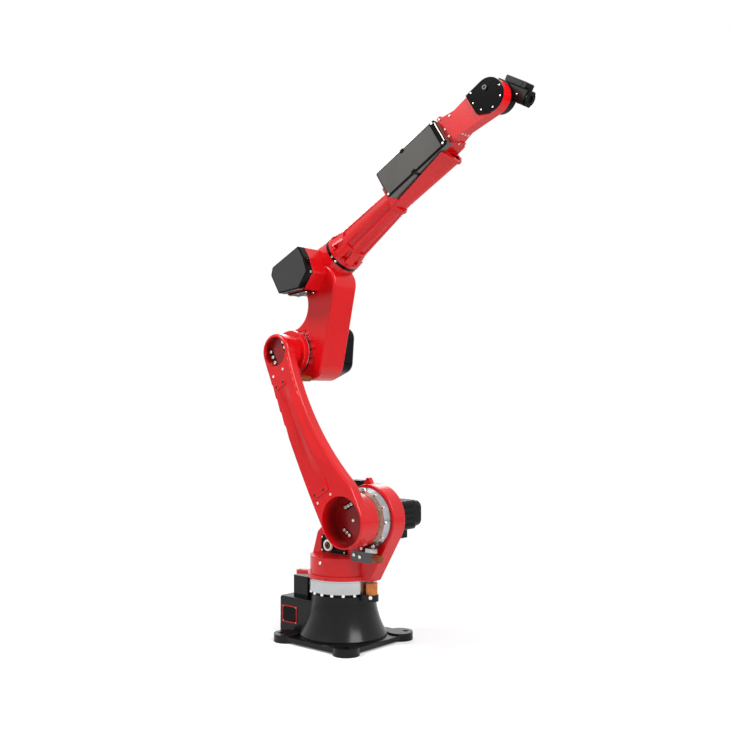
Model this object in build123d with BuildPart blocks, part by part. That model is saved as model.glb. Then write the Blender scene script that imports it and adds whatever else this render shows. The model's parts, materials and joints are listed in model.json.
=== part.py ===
"""Long-reach six-axis industrial robot arm, modelled in the pose of the photograph, in millimetres.

The origin is on the floor on the slewing axis, +X is the way the arm reaches and +Z is up.
The arm hangs on the -Y side of the turret, and the motors are on the +Y side.
"""

import os
from math import atan2, cos, degrees, radians, sin, sqrt

from build123d import *

os.makedirs("parts", exist_ok=True)

# Driving dimensions: the six axes
J2_FORWARD = 160  # slewing axis to shoulder axis
J2_HEIGHT = 482  # floor to shoulder axis
UPPER_LENGTH = 720  # shoulder axis to elbow axis
UPPER_PITCH = 119.1  # upper arm from the horizontal, degrees
ELBOW_ALONG = 365  # elbow axis to forearm flange, along the forearm
ELBOW_OFFSET = 224  # elbow axis to forearm axis
FOREARM_PITCH = 32.2  # degrees
FOREARM_LENGTH = 867  # forearm flange to wrist axis
WRIST_PITCH = -29.5  # degrees
WRIST_LENGTH = 112  # wrist axis to tool flange face

RUN_GAP = 0.5  # between faces that turn on each other
CUT = 4  # overrun of every cut

# Base
FOOT_SPACING = 340
FOOT_R = 50
FOOT_INSET = 15.5  # foot centre inside the bolt hole, along X and along Y
FOOT_T = 30
FOOT_HOLE_R = 11
PLATE_HALF = 188
PLATE_CORNER = 40
PLATE_RAISE = 6
PLATE_T = 18
FLARE_R = 168
WAIST_R = 137
WAIST_Z = 100
COLUMN_R = 124
COLUMN_TOP = 185
NECK_R = 113
RING_BOTTOM = 196
REAR_BOX_X = 255
REAR_BOX_HALF_Y = 100
REAR_BOX_TOP = 152
REAR_BOX_ROUND = 14
REAR_BOX_TOP_ROUND = 8
RISER_REAR = 214
RISER_FRONT = 134
RISER_HALF_Y = 62
RISER_TOP = 232
RISER_ROUND = 6
PANEL_T = 6
PANEL_W = 150
PANEL_H = 84
PANEL_Z = 90
SOCKET_W = 52
SOCKET_H = 62
SOCKET_DEPTH = 26
SOCKET_SPACING = 70
SOCKET_ROUND = 5
STOP_X = 156
STOP_Y = -14
STOP_LUG_HALF = 26
STOP_LUG_T = 24
STOP_R = 22

# Slewing ring and turret
RING_R = 131
RING_BORE = 60
RING_TOP = 246
RING_STEP = 3
RING_STEP_H = 7
FLANGE_R = 138
FLANGE_T = 15
DRUM_R = 129
DRUM_TOP = 329
WEB_NEAR = -43  # turret web, the face towards the arm
WEB_FAR = 26
WEB_ROUND = 5
WEB_R = 127
WEB_TOE_X = 168
WEB_HEEL_X = -126
WEB_BACK_X = -100
WEB_BACK_DROP = 70  # rear corner of the web below the shoulder axis
WEB_BACK_ANGLE = 140  # where the rear edge meets the round top, degrees from +X
WEB_FRONT_ANGLE = -32
TIE_REACH = 176
TIE_ANGLE = 207  # lug on the turret flange, degrees from +X
TIE_W = 30
TIE_HOLE_R = 5
EYE_X = 128
EYE_W = 40
EYE_H = 22
EYE_ANGLE = 60  # degrees
BOSS_X = 152
BOSS_W = 52
BOSS_NEAR = -76
BOSS_TOP = 360
BOSS_BOTTOM = 322
GLAND_X = -7
GLAND_Z = 369
GLAND_W = 130
GLAND_H = 64
GLAND_T = 7
GLAND_R = 21
GLAND_BORE = 13
GLAND_REACH = 22
GLAND_SHIFT = 4
GLAND_PLUG_R = 15
GLAND_PLUG_X = 46
GLAND_PLUG_REACH = 30
STOP_PLATE_X = 169
STOP_PLATE_Z = 345
STOP_PLATE_W = 110
STOP_PLATE_H = 40
STOP_PLATE_T = 10
J2_STOP_R = 13
J2_STOP_H = 34
TOP_BOX_X = 68
TOP_BOX_RISE = 122  # above the shoulder axis
TOP_BOX_W = 62
TOP_BOX_H = 26
TOP_BOX_D = 40
TOP_BOX_ROUND = 4

# Shoulder drive
J2_RING_R = 117
J2_RING_NECK = 94
J2_RING_RIM_T = 16
J2_RING_CONE_T = 22
MOTOR_FLANGE = 130
MOTOR_FLANGE_T = 14
MOTOR_BODY = 112
MOTOR_LENGTH = 150
MOTOR_ROUND = 14
MOTOR_GROOVE_W = 9
MOTOR_GROOVE_DEPTH = 5
MOTOR_GROOVES = 4
MOTOR_GROOVE_STEP = 22
MOTOR_CAP = 100
MOTOR_CAP_T = 48
MOTOR_CAP_ROUND = 8
PLUG_W = 34
PLUG_H = 36
PLUG_D = 44
J1_MOTOR_X = -30
J1_MOTOR_Y = 78
J1_MOTOR_BODY = 92
J1_MOTOR_LENGTH = 120
J1_MOTOR_CAP = 80
J1_MOTOR_CAP_T = 36
J1_MOTOR_ROUND = 10

# Upper arm
ARM_NEAR = -190  # outer face
ARM_FAR = -142  # inner face along the beam and at the elbow
SHOULDER_HUB_FAR = -96  # inner end of the shoulder hub
ARM_FOOT_R = 100
ARM_HEAD_R = 70
ARM_REAR_R = 4800  # long arc of the rear edge
ARM_FRONT_RISE = -36  # front edge at its narrowest place, across the arm
ARM_FRONT_SHARE = 0.6041667  # that place, as a share of the arm's length
ARM_FLARE_AT = 95  # where the front edge widens to the shoulder
ARM_FLARE = -104
ARM_FLARE_R = 160
ARM_FRONT_HEAD = -62
ELBOW_HUB_FAR = -110  # inner end of the elbow hub
ELBOW_HUB_R = 66
ARM_ROUND = 10
SHOULDER_RECESS_R = 94
SHOULDER_RECESS_DEPTH = 69
ELBOW_RECESS_R = 58
ELBOW_RECESS_DEPTH = 25
POCKET_REACH = 58  # bolt pockets in the recesses, from the axis
POCKET_L = 52
POCKET_W = 24
POCKET_DEPTH = 9
POCKET_ANGLE = -4  # first pocket, degrees from +X
ELBOW_POCKET_REACH = 38
ELBOW_POCKET_L = 70
ELBOW_POCKET_W = 22
ELBOW_POCKET_ANGLE = 30
POCKETS = 3
ELBOW_POCKETS = 2
ELBOW_POCKET_DEPTH = 4
GROOVE_DEPTH = 9  # long tapered groove in the outer face
GROOVE_FOOT = 190  # from the shoulder axis to its narrow end
GROOVE_HEAD = 145  # from the elbow axis to its wide end
GROOVE_REAR = 60
GROOVE_REAR_BOW = 72
GROOVE_FRONT = 28
GROOVE_FRONT_BOW = 36
GROOVE_FOOT_ACROSS = 48

# Elbow
ELBOW_NEAR = -72
ELBOW_FAR = 55
ELBOW_ROUND = 10
ELBOW_HEEL_R = 95
ELBOW_TOE_R = 72
ELBOW_TOE_ALONG = 40
ELBOW_TOE_ACROSS = -72
ELBOW_CHIN_R = 76
ELBOW_CHIN_ALONG = 253
ELBOW_CHIN_ACROSS = 151
NAPE_R = 98
NAPE_ALONG = 67
NAPE_ACROSS = 178
J3_RING_R = 86
J3_RING_CHAMFER = 3
ELBOW_NECK_R = 77
ELBOW_NECK_START = 190
POD_SIZE = 85
POD_ALONG = 225
POD_ACROSS = 215
POD_NEAR = -150  # red side pod, the face that carries the cover
POD_FAR = 70
POD_ROUND = 9
PAN_NEAR = -182
PAN_INSET = 3
SOLE_T = 6  # cover plate under the pod
SOLE_MARGIN = 10
SOLE_FAR = -78
J3_COVER_R = 108
J3_COVER_TAIL_R = 48
J3_COVER_TAIL_ALONG = 105
J3_COVER_TAIL_ACROSS = 5
J3_COVER_FOOT_R = 46
J3_COVER_FOOT_ALONG = 50
J3_COVER_FOOT_ACROSS = -72
J3_COVER_T = 78
J3_COVER_ROUND = 16
J4_RING_R = 78
J4_RING_T = 12
J3_STOP_R = 11
J3_STOP_T = 60
J3_STOP_BACK = 132  # from the elbow axis back along the arm
J3_STOP_ACROSS = -22

# Forearm
ROOT_R = 77
ROOT_T = 16
ROOT_CONE_R = 75
ROOT_CONE_END = 66
LUG_POCKETS = 8
LUG_POCKET_R = 11
LUG_POCKET_REACH = 71
TUBE_START_R = 66
TUBE_END_R = 50
FLUTE_R = 26
FLUTE_START = 74
FLUTE_STOP = 10  # before the end of the tube
FLUTE_DEPTH = 10
FLUTE_END_DEPTH = 5
FLUTES = 6
HOUSING_BACK = 552  # wrist axis back to the rear end of the housing
HOUSING_FRONT = 212
HOUSING_FAR = 30
HOUSING_FRONT_FAR = 16
HOUSING_CHAMFER = 16
HOUSING_REAR_NEAR = -50
HOUSING_FRONT_NEAR = -74
HOUSING_REAR_TOP = 52
HOUSING_FRONT_TOP = 66
HOUSING_REAR_WAIST = -34
HOUSING_FRONT_WAIST = -28
KEEL_FRONT = 252  # wrist axis back to the open front end of the keel
KEEL_REAR_BOTTOM = -46
KEEL_REAR_WAIST = -36
KEEL_FRONT_BOTTOM = -62
KEEL_FRONT_NEAR = -92
KEEL_FRONT_WAIST = -43
KEEL_TOP = -22
KEEL_RIDGE_NEAR = -4
KEEL_RIDGE_FAR = 10
KEEL_WALL = 7
KEEL_HOLLOW = 60
LIP_T = 12
LIP_REAR_OUT = 12
LIP_FRONT_OUT = 6
COVER_NEAR = -106
COVER_BACK = 516
COVER_FRONT = 212
COVER_REAR_TOP = 83
COVER_REAR_BOTTOM = -30
COVER_FRONT_TOP = 67
COVER_FRONT_BOTTOM = -41
COVER_CORNER = 5
COVER_EDGE = 4
NOTCH_BACK = 376
NOTCH_W = 14
NOTCH_H = 8
WRIST_FLANGE_T = 17
WRIST_FLANGE_NEAR = -80
WRIST_FLANGE_FAR = -4
WRIST_FLANGE_TOP = 76
WRIST_FLANGE_BOTTOM = -35
WRIST_FLANGE_CUT = 22
NECK_BACK = 140  # wrist axis back to the end of the tapered neck
NECK_ROOT_FAR = -12
NECK_ROOT_TOP = 66
NECK_ROOT_BOTTOM = -32
PADDLE_NEAR = -80
PADDLE_FAR = -36
PADDLE_R = 60
PADDLE_BACK = 6  # centre of the round end behind the wrist axis, and below it
PADDLE_DROP = 8
PADDLE_TOP = 50
PADDLE_BOTTOM = -42
J5_COVER_T = 7
J5_COVER_R = 60
J5_COVER_BACK = 72
J5_COVER_TOP = 53
J5_COVER_BOTTOM = -32
J5_PLUG_R = 9
J5_PLUG_T = 4
J5_PLUG_RISE = 20

# Wrist
WRIST_R = 56
WRIST_FAR = 10
WRIST_ROUND = 4
NOSE_HALF = 27
NOSE_RISE = 30  # tool axis above the wrist axis
NOSE_END = 104
NOSE_ROUND = 8
CHEEK_BACK = -31  # raised block behind the nose
CHEEK_TOP = 57
CHEEK_END = 12
CHEEK_HALF = 21
J6_MOTOR_START = -2
J6_MOTOR_END = 88
J6_MOTOR_HIGH = 77
J6_MOTOR_HALF = 24
J6_MOTOR_ROUND = 4
TOOL_R = 25
TOOL_PCD = 40
TOOL_HOLE_R = 2.5
TOOL_HOLES = 4
TOOL_BORE = 12.5
TOOL_BORE_DEPTH = 6


def step_from(origin, pitch, along, across=0):
    """Point reached from origin by going along a line at this pitch, and across it."""
    return Vector(
        origin.X + along * cos(radians(pitch)) - across * sin(radians(pitch)),
        origin.Y,
        origin.Z + along * sin(radians(pitch)) + across * cos(radians(pitch)),
    )


def side_plane(origin, pitch, y):
    """Plane facing -Y at this y: its own x runs along the link, its own y across it."""
    return Plane(
        origin=(origin.X, y, origin.Z),
        x_dir=(cos(radians(pitch)), 0, sin(radians(pitch))),
        z_dir=(0, -1, 0),
    )


def cross_plane(origin, pitch, along):
    """Plane across a link: its own x is +Y, its own y points up across the link."""
    return Plane(
        origin=step_from(origin, pitch, along),
        x_dir=(0, 1, 0),
        z_dir=(cos(radians(pitch)), 0, sin(radians(pitch))),
    )


def top_plane(origin, pitch):
    """Plane along a link: its own x runs along the link, its own y is +Y."""
    return Plane(
        origin=origin,
        x_dir=(cos(radians(pitch)), 0, sin(radians(pitch))),
        z_dir=(-sin(radians(pitch)), 0, cos(radians(pitch))),
    )


def arc_on_rims(first_r, second_r, gap, radius):
    """Start, middle and end of a long arc that wraps round two circles, gap apart on one line."""
    first_reach = radius - first_r
    second_reach = radius - second_r
    centre_along = (gap**2 + first_reach**2 - second_reach**2) / (2 * gap)
    centre_across = -sqrt(first_reach**2 - centre_along**2)
    first_part = -first_r / first_reach
    second_part = -second_r / second_reach
    start = (centre_along * first_part, centre_across * first_part)
    end = (gap + (centre_along - gap) * second_part, centre_across * second_part)
    return start, (centre_along, centre_across + radius), end


def web_rim(angle):
    """Point of the turret web's round top at this angle."""
    return J2_FORWARD + WEB_R * cos(radians(angle)), J2_HEIGHT + WEB_R * sin(radians(angle))


def scaled(shares, size):
    """Outline points from shares of one size."""
    return [(x * size, y * size) for x, y in shares]


def keel_outline(near, waist, bottom, root):
    """Cross-section of the forearm's keel: a slanted near side, a narrow sole and a root."""
    sole = ((KEEL_RIDGE_NEAR, bottom), (KEEL_RIDGE_FAR, bottom))
    root_corners = ((HOUSING_FRONT_FAR, KEEL_TOP), (root, KEEL_TOP), (root, waist))
    Polygon((near, waist), *sole, (HOUSING_FAR, waist), *root_corners, align=None)


def finish(builder, name):
    """Label a finished piece and write its file."""
    builder.part.label = name
    export_step(builder.part, f"parts/{name}.step")


# Axis points
AXIS_1 = Vector(0, 0, 0)
AXIS_2 = Vector(J2_FORWARD, 0, J2_HEIGHT)
AXIS_3 = step_from(AXIS_2, UPPER_PITCH, UPPER_LENGTH)
ROOT = step_from(AXIS_3, FOREARM_PITCH, ELBOW_ALONG, ELBOW_OFFSET)
AXIS_5 = step_from(ROOT, FOREARM_PITCH, FOREARM_LENGTH)
NOSE = step_from(AXIS_5, WRIST_PITCH, 0, NOSE_RISE)


# Base casting: flared column on a plate with four feet, and a box at the rear
with BuildPart() as base_casting:
    with BuildSketch(Plane.XY.offset(PLATE_RAISE)):
        with Locations((-REAR_BOX_X / 2, 0)):
            RectangleRounded(REAR_BOX_X, 2 * REAR_BOX_HALF_Y, REAR_BOX_ROUND)
    extrude(amount=REAR_BOX_TOP - PLATE_RAISE)
    fillet(base_casting.faces().sort_by(Axis.Z)[-1].edges(), REAR_BOX_TOP_ROUND)
    with BuildSketch(Plane.XY.offset(PLATE_RAISE)):
        RectangleRounded(2 * PLATE_HALF, 2 * PLATE_HALF, PLATE_CORNER)
    extrude(amount=PLATE_T)
    foot_pitch = FOOT_SPACING - 2 * FOOT_INSET
    with BuildSketch(Plane.XY):
        with GridLocations(foot_pitch, foot_pitch, 2, 2):
            Circle(FOOT_R)
    extrude(amount=FOOT_T)
    with BuildSketch(Plane.XZ):
        with BuildLine():
            Polyline((0, RING_BOTTOM), (0, PLATE_RAISE), (FLARE_R, PLATE_RAISE), (FLARE_R, FOOT_T))
            ThreePointArc((FLARE_R, FOOT_T), (WAIST_R, WAIST_Z), (COLUMN_R, COLUMN_TOP))
            Polyline((COLUMN_R, COLUMN_TOP), (NECK_R, COLUMN_TOP), (NECK_R, RING_BOTTOM), (0, RING_BOTTOM))
        make_face()
    revolve(axis=Axis.Z)
    with BuildSketch(Plane.XY.offset(RING_BOTTOM - STOP_LUG_T)):
        with Locations((STOP_X / 2, STOP_Y)):
            Rectangle(STOP_X, 2 * STOP_LUG_HALF)
        with Locations((STOP_X, STOP_Y)):
            Circle(STOP_LUG_HALF)
        Circle(NECK_R, mode=Mode.SUBTRACT)
    extrude(amount=STOP_LUG_T)
    with Locations(Plane.XY.offset(FOOT_T)):
        with GridLocations(FOOT_SPACING, FOOT_SPACING, 2, 2):
            Hole(FOOT_HOLE_R)
finish(base_casting, "base_casting")

# Cable riser behind the slewing ring
with BuildPart() as cable_riser:
    with BuildSketch(Plane.XY.offset(REAR_BOX_TOP)):
        with Locations(((-RISER_REAR - RISER_FRONT) / 2, 0)):
            RectangleRounded(RISER_REAR - RISER_FRONT, 2 * RISER_HALF_Y, RISER_ROUND)
        Circle(COLUMN_R + RISER_ROUND, mode=Mode.SUBTRACT)
    extrude(amount=RISER_TOP - REAR_BOX_TOP)
finish(cable_riser, "cable_riser")

# Connector panel on the rear of the base
with BuildPart() as connector_panel:
    panel_plane = Plane(origin=(-REAR_BOX_X, 0, PANEL_Z), x_dir=(0, -1, 0), z_dir=(-1, 0, 0))
    with BuildSketch(panel_plane):
        RectangleRounded(PANEL_W, PANEL_H, SOCKET_ROUND)
    extrude(amount=PANEL_T)
    with BuildSketch(panel_plane.offset(PANEL_T)):
        with GridLocations(SOCKET_SPACING, 0, 2, 1):
            RectangleRounded(SOCKET_W, SOCKET_H, SOCKET_ROUND)
    extrude(amount=SOCKET_DEPTH)
finish(connector_panel, "connector_panel")

# Rubber stop for the slewing axis
with BuildPart() as slew_stop:
    with BuildSketch(Plane.XY.offset(RING_BOTTOM)):
        with Locations((STOP_X, STOP_Y)):
            Circle(STOP_R)
    extrude(amount=RING_TOP - RING_BOTTOM - FLANGE_T / 2)
finish(slew_stop, "slew_stop")

# Slewing reducer ring
with BuildPart() as slew_ring:
    with BuildSketch(Plane.XZ):
        with BuildLine():
            Polyline(
                (RING_BORE, RING_BOTTOM),
                (RING_R, RING_BOTTOM),
                (RING_R, RING_TOP - RING_STEP_H),
                (RING_R - RING_STEP, RING_TOP - RING_STEP_H),
                (RING_R - RING_STEP, RING_TOP),
                (RING_BORE, RING_TOP),
                close=True,
            )
        make_face()
    revolve(axis=Axis.Z)
finish(slew_ring, "slew_ring")

# Turret casting: flange, drum and the tall web that carries the shoulder
FLANGE_BOTTOM = RING_TOP + RUN_GAP
with BuildPart() as turret_casting:
    with BuildSketch(side_plane(AXIS_1, 0, WEB_FAR)):
        with BuildLine():
            Polyline(
                (WEB_TOE_X, FLANGE_BOTTOM),
                (WEB_HEEL_X, FLANGE_BOTTOM),
                (WEB_HEEL_X, DRUM_TOP),
                (WEB_BACK_X, J2_HEIGHT - WEB_BACK_DROP),
                web_rim(WEB_BACK_ANGLE),
                (J2_FORWARD, J2_HEIGHT),
                web_rim(WEB_FRONT_ANGLE),
                close=True,
            )
        make_face()
        with Locations((J2_FORWARD, J2_HEIGHT)):
            Circle(WEB_R)
    extrude(amount=WEB_FAR - WEB_NEAR)
    fillet(turret_casting.faces().filter_by(Axis.Y).edges(), WEB_ROUND)
    with BuildSketch(Plane.XY.offset(FLANGE_BOTTOM)):
        Circle(FLANGE_R)
        with PolarLocations(TIE_REACH / 2, 1, start_angle=TIE_ANGLE):
            Rectangle(TIE_REACH, TIE_W)
        with PolarLocations(TIE_REACH, 1, start_angle=TIE_ANGLE):
            Circle(TIE_W / 2)
            Circle(TIE_HOLE_R, mode=Mode.SUBTRACT)
    extrude(amount=FLANGE_T)
    with BuildSketch(Plane.XY.offset(FLANGE_BOTTOM)):
        Circle(DRUM_R)
    extrude(amount=DRUM_TOP - FLANGE_BOTTOM)
    with BuildSketch(side_plane(AXIS_1, 0, WEB_NEAR)):
        with Locations((BOSS_X, (BOSS_BOTTOM + BOSS_TOP) / 2)):
            Rectangle(BOSS_W, BOSS_TOP - BOSS_BOTTOM)
    extrude(amount=WEB_NEAR - BOSS_NEAR)
    with BuildSketch(side_plane(AXIS_1, 0, WEB_FAR / 2)):
        with Locations((EYE_X, J2_HEIGHT + WEB_R + EYE_H / 2 - CUT)):
            Trapezoid(EYE_W, EYE_H + CUT, left_side_angle=EYE_ANGLE)
    extrude(amount=EYE_W / 2)
finish(turret_casting, "turret_casting")

# Gland plate with its round socket, on the web below the arm
with BuildPart() as gland_plate:
    with BuildSketch(side_plane(AXIS_1, 0, WEB_NEAR)):
        with Locations((GLAND_X, GLAND_Z)):
            Rectangle(GLAND_W, GLAND_H)
    extrude(amount=GLAND_T)
finish(gland_plate, "gland_plate")

with BuildPart() as gland_socket:
    with BuildSketch(side_plane(AXIS_1, 0, WEB_NEAR - GLAND_T)):
        with Locations((GLAND_X - GLAND_SHIFT, GLAND_Z)):
            Circle(GLAND_R)
    extrude(amount=GLAND_REACH)
    with BuildSketch(side_plane(AXIS_1, 0, WEB_NEAR - GLAND_T - GLAND_REACH)):
        with Locations((GLAND_X - GLAND_SHIFT, GLAND_Z)):
            Circle(GLAND_BORE)
    extrude(amount=GLAND_T)
finish(gland_socket, "gland_socket")

with BuildPart() as gland_plug:
    with BuildSketch(side_plane(AXIS_1, 0, WEB_NEAR - GLAND_T)):
        with Locations((GLAND_X + GLAND_PLUG_X, GLAND_Z)):
            Circle(GLAND_PLUG_R)
    extrude(amount=GLAND_PLUG_REACH / 2)
    with BuildSketch(side_plane(AXIS_1, 0, WEB_NEAR - GLAND_T)):
        with Locations((GLAND_X + GLAND_PLUG_X, GLAND_Z)):
            RegularPolygon(GLAND_PLUG_R - CUT, 6)
    extrude(amount=GLAND_PLUG_REACH)
finish(gland_plug, "gland_plug")

# Stop bracket and rubber for the shoulder axis
with BuildPart() as shoulder_stop_plate:
    with BuildSketch(side_plane(AXIS_1, 0, BOSS_NEAR)):
        with Locations((STOP_PLATE_X, STOP_PLATE_Z)):
            RectangleRounded(STOP_PLATE_W, STOP_PLATE_H, STOP_PLATE_H / 3)
    extrude(amount=STOP_PLATE_T)
finish(shoulder_stop_plate, "shoulder_stop_plate")

with BuildPart() as shoulder_stop:
    stop_plane = Plane(
        origin=(STOP_PLATE_X + STOP_PLATE_W / 2, BOSS_NEAR - STOP_PLATE_T / 2, STOP_PLATE_Z),
        x_dir=(0, 1, 0),
        z_dir=(1, 0, 0),
    )
    with BuildSketch(stop_plane):
        Circle(J2_STOP_R)
    extrude(amount=J2_STOP_H)
finish(shoulder_stop, "shoulder_stop")

# Connector box on top of the web
with BuildPart() as top_box:
    with BuildSketch(side_plane(AXIS_1, 0, WEB_FAR)):
        with Locations((TOP_BOX_X, J2_HEIGHT + TOP_BOX_RISE)):
            RectangleRounded(TOP_BOX_W, TOP_BOX_H, TOP_BOX_ROUND)
        with Locations((J2_FORWARD, J2_HEIGHT)):
            Circle(WEB_R, mode=Mode.SUBTRACT)
    extrude(amount=TOP_BOX_D)
finish(top_box, "top_box")

# Shoulder reducer ring: rim, cone and neck
with BuildPart() as shoulder_ring:
    with BuildSketch(Plane(origin=AXIS_2, x_dir=(0, 0, 1), z_dir=(1, 0, 0))):
        with BuildLine():
            Polyline(
                (0, -WEB_NEAR),
                (J2_RING_R, -WEB_NEAR),
                (J2_RING_R, J2_RING_RIM_T - WEB_NEAR),
                (J2_RING_NECK, J2_RING_RIM_T + J2_RING_CONE_T - WEB_NEAR),
                (J2_RING_NECK, -SHOULDER_HUB_FAR - RUN_GAP),
                (0, -SHOULDER_HUB_FAR - RUN_GAP),
                close=True,
            )
        make_face()
    revolve(axis=Axis(AXIS_2, (0, 1, 0)))
finish(shoulder_ring, "shoulder_ring")

# Shoulder motor on the far side of the web
with BuildPart() as shoulder_motor:
    motor_plane = Plane(origin=(J2_FORWARD, WEB_FAR, J2_HEIGHT), x_dir=(1, 0, 0), z_dir=(0, 1, 0))
    with BuildSketch(motor_plane):
        RectangleRounded(MOTOR_FLANGE, MOTOR_FLANGE, MOTOR_ROUND)
    extrude(amount=MOTOR_FLANGE_T)
    with BuildSketch(motor_plane):
        RectangleRounded(MOTOR_BODY, MOTOR_BODY, MOTOR_ROUND)
    extrude(amount=MOTOR_LENGTH)
    with BuildSketch(motor_plane.offset(MOTOR_FLANGE_T)):
        with PolarLocations(MOTOR_BODY / 2, MOTOR_GROOVES):
            with GridLocations(0, MOTOR_GROOVE_STEP, 1, MOTOR_GROOVES):
                Rectangle(2 * MOTOR_GROOVE_DEPTH, MOTOR_GROOVE_W)
    extrude(amount=MOTOR_LENGTH, mode=Mode.SUBTRACT)
    with BuildSketch(motor_plane.offset(MOTOR_LENGTH)):
        RectangleRounded(MOTOR_CAP, MOTOR_CAP, 2 * MOTOR_ROUND)
    extrude(amount=MOTOR_CAP_T)
    fillet(shoulder_motor.faces().sort_by(Axis.Y)[-1].edges(), MOTOR_CAP_ROUND)
finish(shoulder_motor, "shoulder_motor")

with BuildPart() as shoulder_plug:
    with BuildSketch(Plane.XY.offset(J2_HEIGHT - MOTOR_BODY / 2 - PLUG_H)):
        with Locations((J2_FORWARD, WEB_FAR + MOTOR_LENGTH - PLUG_D / 2)):
            RectangleRounded(PLUG_W, PLUG_D, SOCKET_ROUND)
    extrude(amount=PLUG_H)
finish(shoulder_plug, "shoulder_plug")

# Slewing motor, upright on the drum behind the web
with BuildPart() as slew_motor:
    with BuildSketch(Plane.XY.offset(DRUM_TOP)):
        with Locations((J1_MOTOR_X, J1_MOTOR_Y)):
            RectangleRounded(J1_MOTOR_BODY, J1_MOTOR_BODY, J1_MOTOR_ROUND)
    extrude(amount=J1_MOTOR_LENGTH)
    with BuildSketch(Plane.XY.offset(DRUM_TOP + J1_MOTOR_LENGTH)):
        with Locations((J1_MOTOR_X, J1_MOTOR_Y)):
            RectangleRounded(J1_MOTOR_CAP, J1_MOTOR_CAP, 2 * J1_MOTOR_ROUND)
    extrude(amount=J1_MOTOR_CAP_T)
finish(slew_motor, "slew_motor")

# Upper arm: one bowed casting with a thick hub at the shoulder
with BuildPart() as upper_arm:
    head_back = sqrt(ARM_HEAD_R**2 - ARM_FRONT_HEAD**2)
    with BuildSketch(side_plane(AXIS_2, UPPER_PITCH, ARM_FAR)) as arm_outline:
        with BuildLine():
            rear = ThreePointArc(*arc_on_rims(ARM_FOOT_R, ARM_HEAD_R, UPPER_LENGTH, ARM_REAR_R))
            front_end = (UPPER_LENGTH - head_back, ARM_FRONT_HEAD)
            flare = (ARM_FLARE_AT, ARM_FLARE)
            ThreePointArc(flare, (ARM_FRONT_SHARE * UPPER_LENGTH, ARM_FRONT_RISE), front_end)
            Line((0, -ARM_FOOT_R), flare)
            ThreePointArc(rear @ 0, (-ARM_FOOT_R, 0), (0, -ARM_FOOT_R))
            ThreePointArc(rear @ 1, (UPPER_LENGTH + ARM_HEAD_R, 0), front_end)
        make_face()
        flare_corner = arm_outline.workplanes[0].from_local_coords(Vector(*flare))
        fillet(arm_outline.vertices().sort_by_distance(flare_corner)[0], ARM_FLARE_R)
    extrude(amount=ARM_FAR - ARM_NEAR)
    fillet(upper_arm.faces().filter_by(Axis.Y).edges(), ARM_ROUND)
    for hub, hub_far, hub_r in ((AXIS_2, SHOULDER_HUB_FAR, ARM_FOOT_R), (AXIS_3, ELBOW_HUB_FAR, ELBOW_HUB_R)):
        with BuildSketch(side_plane(hub, UPPER_PITCH, hub_far)):
            Circle(hub_r)
        extrude(amount=hub_far - ARM_FAR + ARM_ROUND)
    with BuildSketch(side_plane(AXIS_2, UPPER_PITCH, ARM_NEAR)):
        Circle(SHOULDER_RECESS_R)
    extrude(amount=-SHOULDER_RECESS_DEPTH, mode=Mode.SUBTRACT)
    with BuildSketch(side_plane(AXIS_2, 0, ARM_NEAR + SHOULDER_RECESS_DEPTH)):
        with PolarLocations(POCKET_REACH, POCKETS, start_angle=POCKET_ANGLE):
            SlotOverall(POCKET_L, POCKET_W, rotation=90)
    extrude(amount=-POCKET_DEPTH, mode=Mode.SUBTRACT)
    with BuildSketch(side_plane(AXIS_3, UPPER_PITCH, ARM_NEAR)):
        Circle(ELBOW_RECESS_R)
    extrude(amount=-ELBOW_RECESS_DEPTH, mode=Mode.SUBTRACT)
    with BuildSketch(side_plane(AXIS_3, 0, ARM_NEAR + ELBOW_RECESS_DEPTH)):
        with PolarLocations(ELBOW_POCKET_REACH, ELBOW_POCKETS, start_angle=ELBOW_POCKET_ANGLE):
            SlotOverall(ELBOW_POCKET_L, ELBOW_POCKET_W, rotation=90)
    extrude(amount=-ELBOW_POCKET_DEPTH, mode=Mode.SUBTRACT)
    groove_head = UPPER_LENGTH - GROOVE_HEAD
    groove_mid = (GROOVE_FOOT + groove_head) / 2
    with BuildSketch(side_plane(AXIS_2, UPPER_PITCH, ARM_NEAR)):
        with BuildLine():
            foot_end = (GROOVE_FOOT, GROOVE_FOOT_ACROSS)
            ThreePointArc((groove_head, GROOVE_REAR), (groove_mid, GROOVE_REAR_BOW), foot_end)
            ThreePointArc(foot_end, (groove_mid, GROOVE_FRONT_BOW), (groove_head, GROOVE_FRONT))
            Line((groove_head, GROOVE_FRONT), (groove_head, GROOVE_REAR))
        make_face()
    extrude(amount=-GROOVE_DEPTH, mode=Mode.SUBTRACT)
finish(upper_arm, "upper_arm")

# Rubber stop for the elbow axis, on the inner face of the upper arm
with BuildPart() as elbow_stop:
    with BuildSketch(side_plane(AXIS_2, UPPER_PITCH, ARM_FAR)):
        with Locations((UPPER_LENGTH - J3_STOP_BACK, J3_STOP_ACROSS)):
            Circle(J3_STOP_R)
    extrude(amount=-J3_STOP_T)
finish(elbow_stop, "elbow_stop")

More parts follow.
